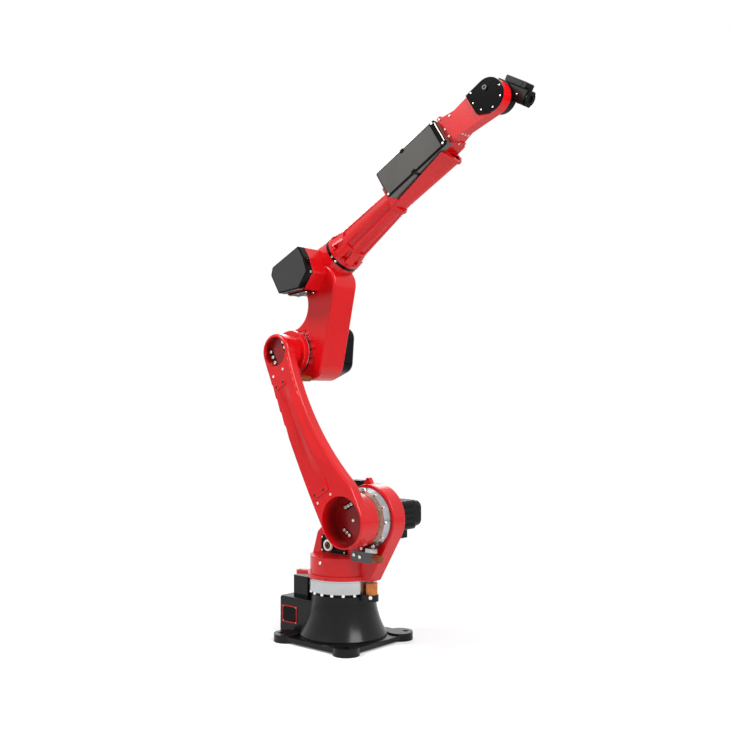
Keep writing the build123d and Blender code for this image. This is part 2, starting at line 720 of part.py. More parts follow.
# Elbow casting: heel round the elbow axis, side pod and neck of the forearm axis
POD_SHARES = (
    (1.06, 0.72),
    (1.06, 0.08),
    (0.91, -0.59),
    (0.06, -0.93),
    (-1.11, -0.36),
    (-1.09, 0.64),
    (-0.80, 0.92),
)
pod_centre = step_from(AXIS_3, FOREARM_PITCH, POD_ALONG, POD_ACROSS)
with BuildPart() as elbow_casting:
    with BuildSketch(side_plane(AXIS_3, FOREARM_PITCH, ELBOW_FAR)):
        Circle(ELBOW_HEEL_R)
        with Locations((ELBOW_TOE_ALONG, ELBOW_TOE_ACROSS)):
            Circle(ELBOW_TOE_R)
        with Locations((ELBOW_CHIN_ALONG, ELBOW_CHIN_ACROSS)):
            Circle(ELBOW_CHIN_R)
        make_hull()
        with Locations((NAPE_ALONG, NAPE_ACROSS)):
            Circle(NAPE_R, mode=Mode.SUBTRACT)
    extrude(amount=ELBOW_FAR - ELBOW_NEAR)
    fillet(elbow_casting.faces().filter_by(Axis.Y).edges(), ELBOW_ROUND)
    with BuildSketch(side_plane(pod_centre, FOREARM_PITCH, POD_FAR)) as pod_outline:
        with BuildLine():
            Polyline(*scaled(POD_SHARES, POD_SIZE), close=True)
        make_face()
        fillet(pod_outline.vertices(), POD_ROUND)
    extrude(amount=POD_FAR - POD_NEAR)
    with BuildSketch(cross_plane(ROOT, FOREARM_PITCH, ELBOW_NECK_START - ELBOW_ALONG)):
        with Locations(((ELBOW_NEAR + ELBOW_FAR) / 2, 0)):
            RectangleRounded(ELBOW_FAR - ELBOW_NEAR - ELBOW_ROUND, 2 * ELBOW_NECK_R, ELBOW_ROUND)
    with BuildSketch(cross_plane(ROOT, FOREARM_PITCH, -J4_RING_T)):
        Circle(ELBOW_NECK_R)
    loft()
finish(elbow_casting, "elbow_casting")

# Side cover of the pod, and the plate under it
with BuildPart() as pod_cover:
    with BuildSketch(side_plane(pod_centre, FOREARM_PITCH, POD_NEAR)) as cover_base:
        with BuildLine():
            Polyline(*scaled(POD_SHARES, POD_SIZE), close=True)
        make_face()
        fillet(cover_base.vertices(), POD_ROUND)
    extrude(amount=POD_NEAR - PAN_NEAR)
    chamfer(pod_cover.faces().sort_by(Axis.Y)[0].edges(), PAN_INSET)
finish(pod_cover, "pod_cover")

sole_front, sole_rear = scaled(POD_SHARES, POD_SIZE)[3:5]
sole_edge = Line(sole_rear, sole_front)
sole_angle = degrees(atan2((sole_edge % 0.5).Y, (sole_edge % 0.5).X))
with BuildPart() as pod_sole:
    with BuildSketch(side_plane(pod_centre, FOREARM_PITCH, SOLE_FAR)):
        with Locations(Location(sole_edge @ 0.5, (0, 0, sole_angle))):
            with Locations((0, -SOLE_T / 2)):
                Rectangle(sole_edge.length - 2 * SOLE_MARGIN, SOLE_T)
    extrude(amount=SOLE_FAR - POD_NEAR - SOLE_MARGIN)
finish(pod_sole, "pod_sole")

# Elbow reducer ring and the motor cover on the far side
with BuildPart() as elbow_ring:
    with BuildSketch(side_plane(AXIS_3, FOREARM_PITCH, ELBOW_NEAR)):
        Circle(J3_RING_R)
    extrude(amount=ELBOW_NEAR - ELBOW_HUB_FAR - RUN_GAP)
    chamfer(elbow_ring.faces().sort_by(Axis.Y)[0].edges(), J3_RING_CHAMFER)
finish(elbow_ring, "elbow_ring")

with BuildPart() as elbow_motor_cover:
    with BuildSketch(side_plane(AXIS_3, FOREARM_PITCH, ELBOW_FAR + J3_COVER_T)):
        Circle(J3_COVER_R)
        with Locations((J3_COVER_TAIL_ALONG, J3_COVER_TAIL_ACROSS)):
            Circle(J3_COVER_TAIL_R)
        with Locations((J3_COVER_FOOT_ALONG, J3_COVER_FOOT_ACROSS)):
            Circle(J3_COVER_FOOT_R)
        make_hull()
    extrude(amount=J3_COVER_T)
    fillet(elbow_motor_cover.faces().sort_by(Axis.Y)[-1].edges(), J3_COVER_ROUND)
finish(elbow_motor_cover, "elbow_motor_cover")

# Seal ring of the forearm axis
with BuildPart() as forearm_ring:
    with BuildSketch(cross_plane(ROOT, FOREARM_PITCH, -J4_RING_T)):
        Circle(J4_RING_R)
    extrude(amount=J4_RING_T)
finish(forearm_ring, "forearm_ring")

# Forearm tube: bolted root with a pocket round each bolt, then a fluted cone
TUBE_END = FOREARM_LENGTH - HOUSING_BACK
tube_slope = (TUBE_END_R - TUBE_START_R) / (TUBE_END - ROOT_T)
with BuildPart() as forearm_tube:
    with BuildSketch(cross_plane(ROOT, FOREARM_PITCH, ROOT_T)):
        Circle(TUBE_START_R)
    with BuildSketch(cross_plane(ROOT, FOREARM_PITCH, TUBE_END)):
        Circle(TUBE_END_R)
    loft()
    for flute in range(FLUTES):
        angle = (flute + 0.5) * 360 / FLUTES
        for along, depth in ((FLUTE_START, FLUTE_DEPTH), (TUBE_END - FLUTE_STOP, FLUTE_END_DEPTH)):
            reach = TUBE_START_R + tube_slope * (along - ROOT_T) + FLUTE_R - depth
            with BuildSketch(cross_plane(ROOT, FOREARM_PITCH, along)):
                with PolarLocations(reach, 1, start_angle=angle):
                    Circle(FLUTE_R)
        loft(mode=Mode.SUBTRACT)
    with BuildSketch(cross_plane(ROOT, FOREARM_PITCH, ROOT_T)):
        Circle(ROOT_CONE_R)
    with BuildSketch(cross_plane(ROOT, FOREARM_PITCH, ROOT_CONE_END)):
        Circle(TUBE_START_R + tube_slope * (ROOT_CONE_END - ROOT_T))
    loft()
    with BuildSketch(cross_plane(ROOT, FOREARM_PITCH, ROOT_T)):
        with PolarLocations(LUG_POCKET_REACH, LUG_POCKETS):
            Circle(LUG_POCKET_R)
    extrude(amount=ROOT_CONE_END - ROOT_T, mode=Mode.SUBTRACT)
    with BuildSketch(cross_plane(ROOT, FOREARM_PITCH, RUN_GAP)):
        Circle(ROOT_R)
    extrude(amount=ROOT_T - RUN_GAP)
finish(forearm_tube, "forearm_tube")

# Forearm housing: it widens towards the wrist, and its keel ends in an open mouth with a lip at both ends
HOUSING_END = FOREARM_LENGTH - HOUSING_FRONT
KEEL_END = FOREARM_LENGTH - KEEL_FRONT
with BuildPart() as forearm_housing:
    for along, near, far, top, waist in (
        (TUBE_END, HOUSING_REAR_NEAR, HOUSING_FAR, HOUSING_REAR_TOP, HOUSING_REAR_WAIST),
        (HOUSING_END, HOUSING_FRONT_NEAR, HOUSING_FRONT_FAR, HOUSING_FRONT_TOP, HOUSING_FRONT_WAIST),
    ):
        with BuildSketch(cross_plane(ROOT, FOREARM_PITCH, along)):
            with BuildLine():
                Polyline(
                    (near, top),
                    (near, waist),
                    (far, waist),
                    (far, top - HOUSING_CHAMFER),
                    (far - HOUSING_CHAMFER, top),
                    close=True,
                )
            make_face()
    loft(ruled=True)
    rear_root = HOUSING_REAR_NEAR + KEEL_WALL
    front_root = HOUSING_FRONT_NEAR + KEEL_WALL
    with BuildSketch(cross_plane(ROOT, FOREARM_PITCH, TUBE_END)):
        keel_outline(HOUSING_REAR_NEAR, KEEL_REAR_WAIST, KEEL_REAR_BOTTOM, rear_root)
    with BuildSketch(cross_plane(ROOT, FOREARM_PITCH, KEEL_END)):
        keel_outline(KEEL_FRONT_NEAR, KEEL_FRONT_WAIST, KEEL_FRONT_BOTTOM, front_root)
    loft(ruled=True)
    with BuildSketch(cross_plane(ROOT, FOREARM_PITCH, TUBE_END)):
        keel_outline(HOUSING_REAR_NEAR, KEEL_REAR_WAIST, KEEL_REAR_BOTTOM - LIP_REAR_OUT, rear_root)
    extrude(amount=LIP_T)
    with BuildSketch(cross_plane(ROOT, FOREARM_PITCH, KEEL_END)):
        keel_outline(KEEL_FRONT_NEAR, KEEL_FRONT_WAIST, KEEL_FRONT_BOTTOM - LIP_FRONT_OUT, front_root)
    extrude(amount=-LIP_T)
    with BuildSketch(cross_plane(ROOT, FOREARM_PITCH, KEEL_END)):
        with BuildLine():
            Polyline(
                (KEEL_FRONT_NEAR / 2, HOUSING_FRONT_WAIST - KEEL_WALL),
                (KEEL_RIDGE_NEAR, KEEL_FRONT_BOTTOM + KEEL_WALL / 2),
                (KEEL_RIDGE_FAR, KEEL_FRONT_BOTTOM + KEEL_WALL / 2),
                (HOUSING_FAR - 2 * KEEL_WALL, HOUSING_FRONT_WAIST - KEEL_WALL),
                close=True,
            )
        make_face()
    extrude(amount=-KEEL_HOLLOW, mode=Mode.SUBTRACT)
finish(forearm_housing, "forearm_housing")

# Side cover of the forearm: a wedge that levels out the widening housing
cover_rear = FOREARM_LENGTH - COVER_BACK
cover_front = FOREARM_LENGTH - COVER_FRONT
notch_at = FOREARM_LENGTH - NOTCH_BACK
with BuildPart() as forearm_cover:
    with BuildSketch(side_plane(ROOT, FOREARM_PITCH, HOUSING_REAR_NEAR)) as cover_outline:
        with BuildLine():
            Polyline(
                (cover_rear, COVER_REAR_TOP),
                (cover_rear, COVER_REAR_BOTTOM),
                (cover_front, COVER_FRONT_BOTTOM),
                (cover_front, COVER_FRONT_TOP),
                close=True,
            )
        make_face()
        fillet(cover_outline.vertices(), COVER_CORNER)
        for notch_edge in (COVER_REAR_TOP + COVER_FRONT_TOP, COVER_REAR_BOTTOM + COVER_FRONT_BOTTOM):
            with Locations((notch_at, notch_edge / 2)):
                Rectangle(NOTCH_W, 2 * NOTCH_H, mode=Mode.SUBTRACT)
    extrude(amount=HOUSING_REAR_NEAR - COVER_NEAR)
    chamfer(forearm_cover.faces().sort_by(Axis.Y)[0].edges(), COVER_EDGE)
    with BuildSketch(top_plane(ROOT, FOREARM_PITCH)):
        with BuildLine():
            Polyline(
                (TUBE_END, HOUSING_REAR_NEAR),
                (HOUSING_END, HOUSING_FRONT_NEAR),
                (FOREARM_LENGTH, HOUSING_FRONT_NEAR),
                (FOREARM_LENGTH, HOUSING_REAR_NEAR + CUT),
                (TUBE_END, HOUSING_REAR_NEAR + CUT),
                close=True,
            )
        make_face()
    extrude(amount=ELBOW_ALONG, both=True, mode=Mode.SUBTRACT)
finish(forearm_cover, "forearm_cover")

# Wrist arm: bolted flange, tapered neck and the paddle that holds the wrist on one side
NECK_START = HOUSING_END + WRIST_FLANGE_T
NECK_END = FOREARM_LENGTH - NECK_BACK
with BuildPart() as wrist_arm:
    with BuildSketch(side_plane(ROOT, FOREARM_PITCH, PADDLE_FAR)):
        with Locations((NECK_END, (PADDLE_TOP + PADDLE_BOTTOM) / 2)):
            Rectangle(CUT, PADDLE_TOP - PADDLE_BOTTOM)
        with Locations((FOREARM_LENGTH - PADDLE_BACK, -PADDLE_DROP)):
            Circle(PADDLE_R)
        make_hull()
    extrude(amount=PADDLE_FAR - PADDLE_NEAR)
    for along, far, top, bottom in (
        (NECK_START, NECK_ROOT_FAR, NECK_ROOT_TOP, NECK_ROOT_BOTTOM),
        (NECK_END, PADDLE_FAR, PADDLE_TOP, PADDLE_BOTTOM),
    ):
        with BuildSketch(cross_plane(ROOT, FOREARM_PITCH, along)):
            with Locations(((PADDLE_NEAR + far) / 2, (top + bottom) / 2)):
                Rectangle(far - PADDLE_NEAR, top - bottom)
    loft(ruled=True)
    with BuildSketch(cross_plane(ROOT, FOREARM_PITCH, HOUSING_END)):
        with BuildLine():
            Polyline(
                (WRIST_FLANGE_NEAR, WRIST_FLANGE_TOP),
                (WRIST_FLANGE_NEAR, WRIST_FLANGE_BOTTOM + WRIST_FLANGE_CUT),
                (WRIST_FLANGE_NEAR + 2 * WRIST_FLANGE_CUT, WRIST_FLANGE_BOTTOM),
                (WRIST_FLANGE_FAR, WRIST_FLANGE_BOTTOM),
                (WRIST_FLANGE_FAR, WRIST_FLANGE_TOP),
                close=True,
            )
        make_face()
    extrude(amount=WRIST_FLANGE_T)
finish(wrist_arm, "wrist_arm")

# Cover of the wrist axis and its plug
with BuildPart() as wrist_cover:
    with BuildSketch(side_plane(AXIS_5, FOREARM_PITCH, PADDLE_NEAR)):
        with Locations((-PADDLE_BACK, -PADDLE_DROP)):
            Circle(J5_COVER_R)
        with Locations((-J5_COVER_BACK, (J5_COVER_TOP + J5_COVER_BOTTOM) / 2)):
            Rectangle(CUT, J5_COVER_TOP - J5_COVER_BOTTOM)
        make_hull()
    extrude(amount=J5_COVER_T)
finish(wrist_cover, "wrist_cover")

with BuildPart() as wrist_plug:
    with BuildSketch(side_plane(AXIS_5, FOREARM_PITCH, PADDLE_NEAR - J5_COVER_T)):
        with Locations((0, J5_PLUG_RISE)):
            Circle(J5_PLUG_R)
    extrude(amount=J5_PLUG_T)
finish(wrist_plug, "wrist_plug")

# Wrist unit: round flank on the paddle, square nose, raised cheek behind it
with BuildPart() as wrist_housing:
    with BuildSketch(side_plane(AXIS_5, WRIST_PITCH, WRIST_FAR)):
        Circle(WRIST_R)
    extrude(amount=WRIST_FAR - PADDLE_FAR - RUN_GAP)
    fillet(wrist_housing.faces().sort_by(Axis.Y)[-1].edges(), WRIST_ROUND)
    with BuildSketch(cross_plane(NOSE, WRIST_PITCH, 0)):
        RectangleRounded(2 * NOSE_HALF, 2 * NOSE_HALF, NOSE_ROUND)
    extrude(amount=NOSE_END)
    with BuildSketch(side_plane(AXIS_5, WRIST_PITCH, CHEEK_HALF)):
        with Locations(((CHEEK_BACK + CHEEK_END) / 2, CHEEK_TOP / 2)):
            Rectangle(CHEEK_END - CHEEK_BACK, CHEEK_TOP)
    extrude(amount=2 * CHEEK_HALF)
finish(wrist_housing, "wrist_housing")

with BuildPart() as wrist_motor:
    nose_top = NOSE_RISE + NOSE_HALF
    with BuildSketch(side_plane(AXIS_5, WRIST_PITCH, J6_MOTOR_HALF)):
        with Locations(((J6_MOTOR_START + J6_MOTOR_END) / 2, (nose_top + J6_MOTOR_HIGH) / 2)):
            Rectangle(J6_MOTOR_END - J6_MOTOR_START, J6_MOTOR_HIGH - nose_top)
    extrude(amount=2 * J6_MOTOR_HALF)
    fillet(wrist_motor.edges().filter_by(Axis.Y), J6_MOTOR_ROUND)
finish(wrist_motor, "wrist_motor")

# Tool flange
with BuildPart() as tool_flange:
    with BuildSketch(cross_plane(NOSE, WRIST_PITCH, NOSE_END + RUN_GAP)):
        Circle(TOOL_R)
        with PolarLocations(TOOL_PCD / 2, TOOL_HOLES, start_angle=180 / TOOL_HOLES):
            Circle(TOOL_HOLE_R, mode=Mode.SUBTRACT)
    extrude(amount=WRIST_LENGTH - NOSE_END - RUN_GAP)
    with BuildSketch(cross_plane(NOSE, WRIST_PITCH, WRIST_LENGTH)):
        Circle(TOOL_BORE)
    extrude(amount=-TOOL_BORE_DEPTH, mode=Mode.SUBTRACT)
finish(tool_flange, "tool_flange")
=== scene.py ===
"""Finishes, fasteners and studio for a long-reach six-axis robot arm.

The solids come packed, and this file paints them and adds what is too small for them: screws,
seals, trims, pads, connectors. Lengths in the functions are in millimetres, meshes are in metres.
"""

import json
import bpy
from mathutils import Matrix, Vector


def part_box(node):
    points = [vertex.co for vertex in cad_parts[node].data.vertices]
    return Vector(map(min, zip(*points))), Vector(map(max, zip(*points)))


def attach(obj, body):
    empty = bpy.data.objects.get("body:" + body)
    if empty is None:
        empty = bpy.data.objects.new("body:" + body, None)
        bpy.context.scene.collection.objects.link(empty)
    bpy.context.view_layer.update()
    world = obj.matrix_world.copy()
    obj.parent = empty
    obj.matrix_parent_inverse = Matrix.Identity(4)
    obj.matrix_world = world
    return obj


bl_info = {
    "name": "Six-axis arm dressing",
    "version": (1, 0, 0),
    "blender": (4, 5, 0),
    "location": "3D View > Sidebar > Six-axis arm",
    "description": "Paints the solids of a six-axis arm and adds its screws, seals, trims and studio",
    "category": "Object",
}

import bmesh
import bpy
import numpy as np
from mathutils import Matrix

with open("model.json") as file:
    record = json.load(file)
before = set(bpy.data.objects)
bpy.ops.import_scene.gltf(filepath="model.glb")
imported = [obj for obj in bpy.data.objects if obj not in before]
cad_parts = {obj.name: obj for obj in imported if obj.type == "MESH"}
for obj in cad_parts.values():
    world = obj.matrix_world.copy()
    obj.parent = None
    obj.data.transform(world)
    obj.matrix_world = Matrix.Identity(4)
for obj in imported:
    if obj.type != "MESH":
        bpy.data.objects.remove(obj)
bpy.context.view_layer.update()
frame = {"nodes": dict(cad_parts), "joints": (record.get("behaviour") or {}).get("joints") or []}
NODES = frame["nodes"]
JOINTS = {joint["name"]: joint for joint in frame["joints"]}
MM = 0.001

# Ways that a screw or a turned shape can point.
NEAR, FAR, DOWN, REAR = (0, -1, 0), (0, 1, 0), (0, 0, -1), (-1, 0, 0)
# Points of a mesh that are closer than this, in metres, are one; edges sharper than this stay crisp.
SEAM, CRISP = 2e-6, np.radians(32)


# Places on the links


def link_frame(origin, along):
    """Origin of a link and its unit vectors as rows: along it, +Y, and across it."""
    run, rise = along[0], along[2]
    return np.array(origin, float), np.array(((run, 0, rise), (0, 1, 0), (-rise, 0, run)), float)


SHOULDER = np.array(JOINTS["shoulder"]["pos_m"])
ELBOW = np.array(JOINTS["elbow"]["pos_m"])
ROOT = JOINTS["forearm_roll"]["pos_m"]
WRIST = JOINTS["wrist_bend"]["pos_m"]
FOREARM_WAY = JOINTS["forearm_roll"]["axis"]
WRIST_WAY = JOINTS["tool_roll"]["axis"]
LEVEL = (1, 0, 0)
LINKS = {
    "floor": link_frame((0, 0, 0), LEVEL),
    "shoulder": link_frame(SHOULDER, LEVEL),
    "upper_arm": link_frame(SHOULDER, (ELBOW - SHOULDER) / np.linalg.norm(ELBOW - SHOULDER)),
    "elbow_level": link_frame(ELBOW, LEVEL),
    "elbow": link_frame(ELBOW, FOREARM_WAY),
    "forearm": link_frame(ROOT, FOREARM_WAY),
    "wrist_side": link_frame(WRIST, FOREARM_WAY),
    "wrist": link_frame(WRIST, WRIST_WAY),
}


def on_link(link, points):
    """Points (along, y, across) of a link in millimetres, as points of the frame in metres."""
    origin, rows = LINKS[link]
    return origin + MM * np.asarray(points, float) @ rows


def way_on_link(link, vectors):
    """Unit directions (along, y, across) of a link, as directions of the frame."""
    ways = np.atleast_2d(np.asarray(vectors, float)) @ LINKS[link][1]
    return ways / np.linalg.norm(ways, axis=1, keepdims=True)


def circle(count, start=0.0):
    """Angles of count places round a circle, in radians, from a start in degrees."""
    return np.radians(start) + np.arange(count) * 2 * np.pi / count


# Shapes


def grid_faces(rows, columns):
    """Quads of a grid of points whose columns close on themselves."""
    row, column = np.mgrid[0 : rows - 1, 0:columns]
    after = (column + 1) % columns
    corners = (row * columns + column, row * columns + after)
    return np.stack([*corners, corners[1] + columns, corners[0] + columns], -1).reshape(-1, 4)


def lathe(reach, level, turn):
    """Rows of points round an axis, (reach cos a, reach sin a, level), and their quads."""
    rise = np.repeat(level[:, None], len(turn), 1)
    points = np.stack([reach * np.cos(turn), reach * np.sin(turn), rise], -1)
    return points.reshape(-1, 3), grid_faces(len(level), len(turn))


def turned(profile, steps=32):
    """A profile of (radius, level) turned round its axis: a row keeps its radius at every angle."""
    radius, level = np.asarray(profile, float).T
    return lathe(radius[:, None], level, circle(steps))


def socket_head(radius, height, steps=24):
    """Cap screw head: a turned shape whose inner rows follow a hexagon.

    The hexagon's reach at an angle is its half width over the cosine of that angle folded into
    30 degrees.
    """
    turn = circle(steps)
    key = 0.5 * radius / np.cos((turn + np.pi / 6) % (np.pi / 3) - np.pi / 6)
    rim, floor, whole = 0.14 * radius, 0.4 * height, np.ones(steps)
    reach = [0 * whole, radius * whole, radius * whole, (radius - rim) * whole, key, key, 0 * whole]
    level = np.array([0, 0, height - rim, height, height, floor, floor])
    return lathe(np.stack(reach), level, turn)


def rounded(corners, radius, steps=6):
    """Outline with rounded corners, and its outward normals.

    Each corner's arc lies on a circle that touches both its sides; all corners are worked out at once.
    """
    corner = np.asarray(corners, float)
    back = np.roll(corner, 1, 0) - corner
    ahead = np.roll(corner, -1, 0) - corner
    back /= np.linalg.norm(back, axis=1, keepdims=True)
    ahead /= np.linalg.norm(ahead, axis=1, keepdims=True)
    half = np.arccos(np.clip((back * ahead).sum(1), -1, 1)) / 2
    middle = back + ahead
    middle /= np.linalg.norm(middle, axis=1, keepdims=True)
    centre = corner + middle * (radius / np.sin(half))[:, None]
    start = corner + back * (radius / np.tan(half))[:, None] - centre
    end = corner + ahead * (radius / np.tan(half))[:, None] - centre
    first = np.arctan2(start[:, 1], start[:, 0])
    sweep = (np.arctan2(end[:, 1], end[:, 0]) - first + np.pi) % (2 * np.pi) - np.pi
    angle = first[:, None] + sweep[:, None] * np.linspace(0, 1, steps)
    normal = np.stack([np.cos(angle), np.sin(angle)], -1)
    return (centre[:, None] + radius * normal).reshape(-1, 2), normal.reshape(-1, 2)


def box_corners(along, across, width, height):
    """Corners of a rectangle round a centre, anticlockwise."""
    return np.array([(-1, -1), (1, -1), (1, 1), (-1, 1)]) * (width / 2, height / 2) + (along, across)


def slab(outline, low, high, bevel):
    """A flat plate: its outline at rising levels, drawn in by the bevel at the top.

    A row of middle points closes it below and above.
    """
    points, normals = outline
    middle = np.repeat(points.mean(0)[None], len(points), 0)
    rows = (middle, points, points, points - bevel * normals, middle)
    levels = (low, low, high - bevel, high, high)
    count = len(points)
    grid = np.stack([np.column_stack([row, np.full(count, level)]) for row, level in zip(rows, levels)])
    return grid.reshape(-1, 3), grid_faces(len(rows), count)


def carried(outline, profile):
    """A closed profile of (inset, level) carried round an outline: point - inset * outward normal."""
    points, normals = outline
    inset, level = np.asarray(profile, float).T
    ring = points[:, None] - normals[:, None] * inset[None, :, None]
    grid = np.concatenate([ring, np.broadcast_to(level, ring.shape[:2])[..., None]], -1)
    count, steps = ring.shape[:2]
    row, column = np.mgrid[0:count, 0:steps]
    ahead, beside = (row + 1) % count * steps, (column + 1) % steps
    faces = np.stack([row * steps + column, ahead + column, ahead + beside, row * steps + beside], -1)
    return grid.reshape(-1, 3), faces.reshape(-1, 4)


def bead(outline, inset, level, radius, steps=8):
    """A round bead carried along an outline: centre line plus r (outward cos a, up sin a)."""
    turn = circle(steps)
    return carried(outline, np.stack([inset - radius * np.cos(turn), level + radius * np.sin(turn)], -1))


def spun(outline, angle):
    """An outline and its normals turned about their origin by an angle."""
    turn = np.array([(np.cos(angle), np.sin(angle)), (-np.sin(angle), np.cos(angle))])
    return tuple(part @ turn for part in outline)


def eased(share):
    """Smooth step from 0 to 1: s s (3 - 2 s)."""
    share = np.clip(share, 0, 1)
    return share * share * (3 - 2 * share)


def crowned(along, first, last, crown, depth, steps=24, sunk=0.2):
    """A long strip between two edges, closed below and at its ends.

    Its top is crown times sine squared of the share across, less a little that it is sunk, so it
    meets the face softly at both edges.
    """
    share = np.concatenate([np.linspace(0, 1, steps), np.linspace(1, 0, steps)])
    across = first[:, None] + (last - first)[:, None] * share
    top = crown[:, None] * np.sin(np.pi * share) ** 2 - sunk
    level = np.where(np.arange(2 * steps) < steps, top, -depth)
    grid = np.stack([np.broadcast_to(along[:, None], across.shape), across, level], -1)
    ends = [np.repeat(grid[row].mean(0)[None], 2 * steps, 0)[None] for row in (0, -1)]
    grid = np.concatenate([ends[0], grid, ends[1]])
    return grid.reshape(-1, 3), grid_faces(len(grid), 2 * steps)


def facing_near(link, shape, y):
    """Lay a flat shape on the face of a link that looks to -Y: (along, across, level) at this y."""
    points, faces = shape
    return on_link(link, np.stack([points[:, 0], y - points[:, 2], points[:, 1]], -1)), faces


def facing_far(link, shape, y):
    """Lay a flat shape on the face of a link that looks to +Y."""
    points, faces = shape
    return on_link(link, np.stack([points[:, 0], y + points[:, 2], points[:, 1]], -1)), faces


def copies(shape, places, ways):
    """One shape at many places, all at once: place + point turned so that its axis is the way."""
    points, faces = shape
    places = np.atleast_2d(places)
    ways = np.broadcast_to(ways, places.shape)
    helper = np.where(np.abs(ways[:, 2:3]) < 0.9, np.array([[0.0, 0, 1]]), np.array([[1.0, 0, 0]]))
    side = np.cross(helper, ways)
    side /= np.linalg.norm(side, axis=1, keepdims=True)
    turns = np.stack([side, np.cross(ways, side), ways], 1)
    laid = places[:, None] + MM * np.einsum("vi,nij->nvj", points, turns)
    steps = np.arange(len(places))[:, None, None] * len(points)
    return laid.reshape(-1, 3), (faces[None] + steps).reshape(-1, 4)


def joined(*shapes):
    """Several shapes as one set of points and faces."""
    starts = np.cumsum([0, *(len(points) for points, _ in shapes[:-1])])
    faces = [quads + start for (_, quads), start in zip(shapes, starts)]
    return np.concatenate([points for points, _ in shapes]), np.concatenate(faces)


def screws(link, places, way, radius, height):
    """Cap screws of one size that stand on places of a link and point the given way."""
    return copies(socket_head(radius, height), on_link(link, places), way_on_link(link, way))


def round_axis(reach, turn, y):
    """Places (along, y, across) at a reach round an axis that runs along Y."""
    return np.stack([reach * np.cos(turn), np.full(np.shape(turn), float(y)), reach * np.sin(turn)], -1)


def rows_round_axis(reach, turn, aside, y):
    """Rows of places square to the radius: reach (cos a, sin a) plus aside (-sin a, cos a)."""
    along = reach * np.cos(turn) - aside * np.sin(turn)
    across = reach * np.sin(turn) + aside * np.cos(turn)
    return np.stack([along, np.full(np.shape(turn), float(y)), across], -1)


def box_mm(node):
    """Lowest and highest corner of a solid, in millimetres."""
    return (np.array(corner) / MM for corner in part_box(node))


def add_piece(name, shape, finish, body):
    """Make an object of a shape in metres, merge its seams and poles, and let it ride on a body."""
    points, faces = shape
    mesh = bpy.data.meshes.new(name)
    mesh.from_pydata(points.tolist(), [], faces.tolist())
    sheet = bmesh.new()
    sheet.from_mesh(mesh)
    bmesh.ops.remove_doubles(sheet, verts=sheet.verts, dist=SEAM)
    bmesh.ops.recalc_face_normals(sheet, faces=sheet.faces)
    sheet.to_mesh(mesh)
    sheet.free()
    mesh.shade_smooth()
    mesh.set_sharp_from_angle(angle=CRISP)
    mesh.materials.append(FINISHES[finish])
    piece = bpy.data.objects.new(name, mesh)
    bpy.context.scene.collection.objects.link(piece)
    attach(piece, body)


# Finishes

FINISHES = {}


def linear(hex_colour):
    """sRGB hex to linear light: c / 12.92 below the knee, else ((c + 0.055) / 1.055) ** 2.4."""
    srgb = np.array([int(hex_colour[i : i + 2], 16) for i in (0, 2, 4)]) / 255
    return [float(c) for c in np.where(srgb <= 0.04045, srgb / 12.92, ((srgb + 0.055) / 1.055) ** 2.4)]


def faded(colour, share):
    """The same colour, darker by a share."""
    return [c * share for c in colour]


def add(tree, kind, inputs=(), **settings):
    """Add a node with its settings; an input is a number, a colour, or an output to link."""
    made = tree.nodes.new(kind)
    for key, value in settings.items():
        setattr(made, key, value)
    for key, value in dict(inputs).items():
        if isinstance(value, bpy.types.NodeSocket):
            tree.links.new(value, made.inputs[key])
        else:
            made.inputs[key].default_value = value
    return made


def per_mm(size):
    """Noise scale, in features per metre, of a pattern whose grain is this many millimetres."""
    return 1 / (size * MM)


def painted_shade_share(tree, where, axis, radius, face, depth):
    """Share of 0 to 1 of painted shade, which grows from the face inwards, inside a radius round an axis
    along Y.
    """
    flat = add(tree, "ShaderNodeVectorMath", {0: where, 1: (1, 0, 1)}, operation="MULTIPLY")
    centre = (axis[0], 0, axis[2])
    reach = add(tree, "ShaderNodeVectorMath", {0: flat.outputs["Vector"], 1: centre}, operation="DISTANCE")
    inside = add(tree, "ShaderNodeMath", {0: reach.outputs["Value"], 1: radius * MM}, operation="LESS_THAN")
    across = add(tree, "ShaderNodeSeparateXYZ", {"Vector": where}).outputs["Y"]
    span = {"Value": across, "From Min": face * MM, "From Max": (face + depth) * MM}
    deep = add(tree, "ShaderNodeMapRange", span, interpolation_type="SMOOTHSTEP")
    both = {0: inside.outputs["Value"], 1: deep.outputs["Result"]}
    return add(tree, "ShaderNodeMath", both, operation="MULTIPLY").outputs["Value"]


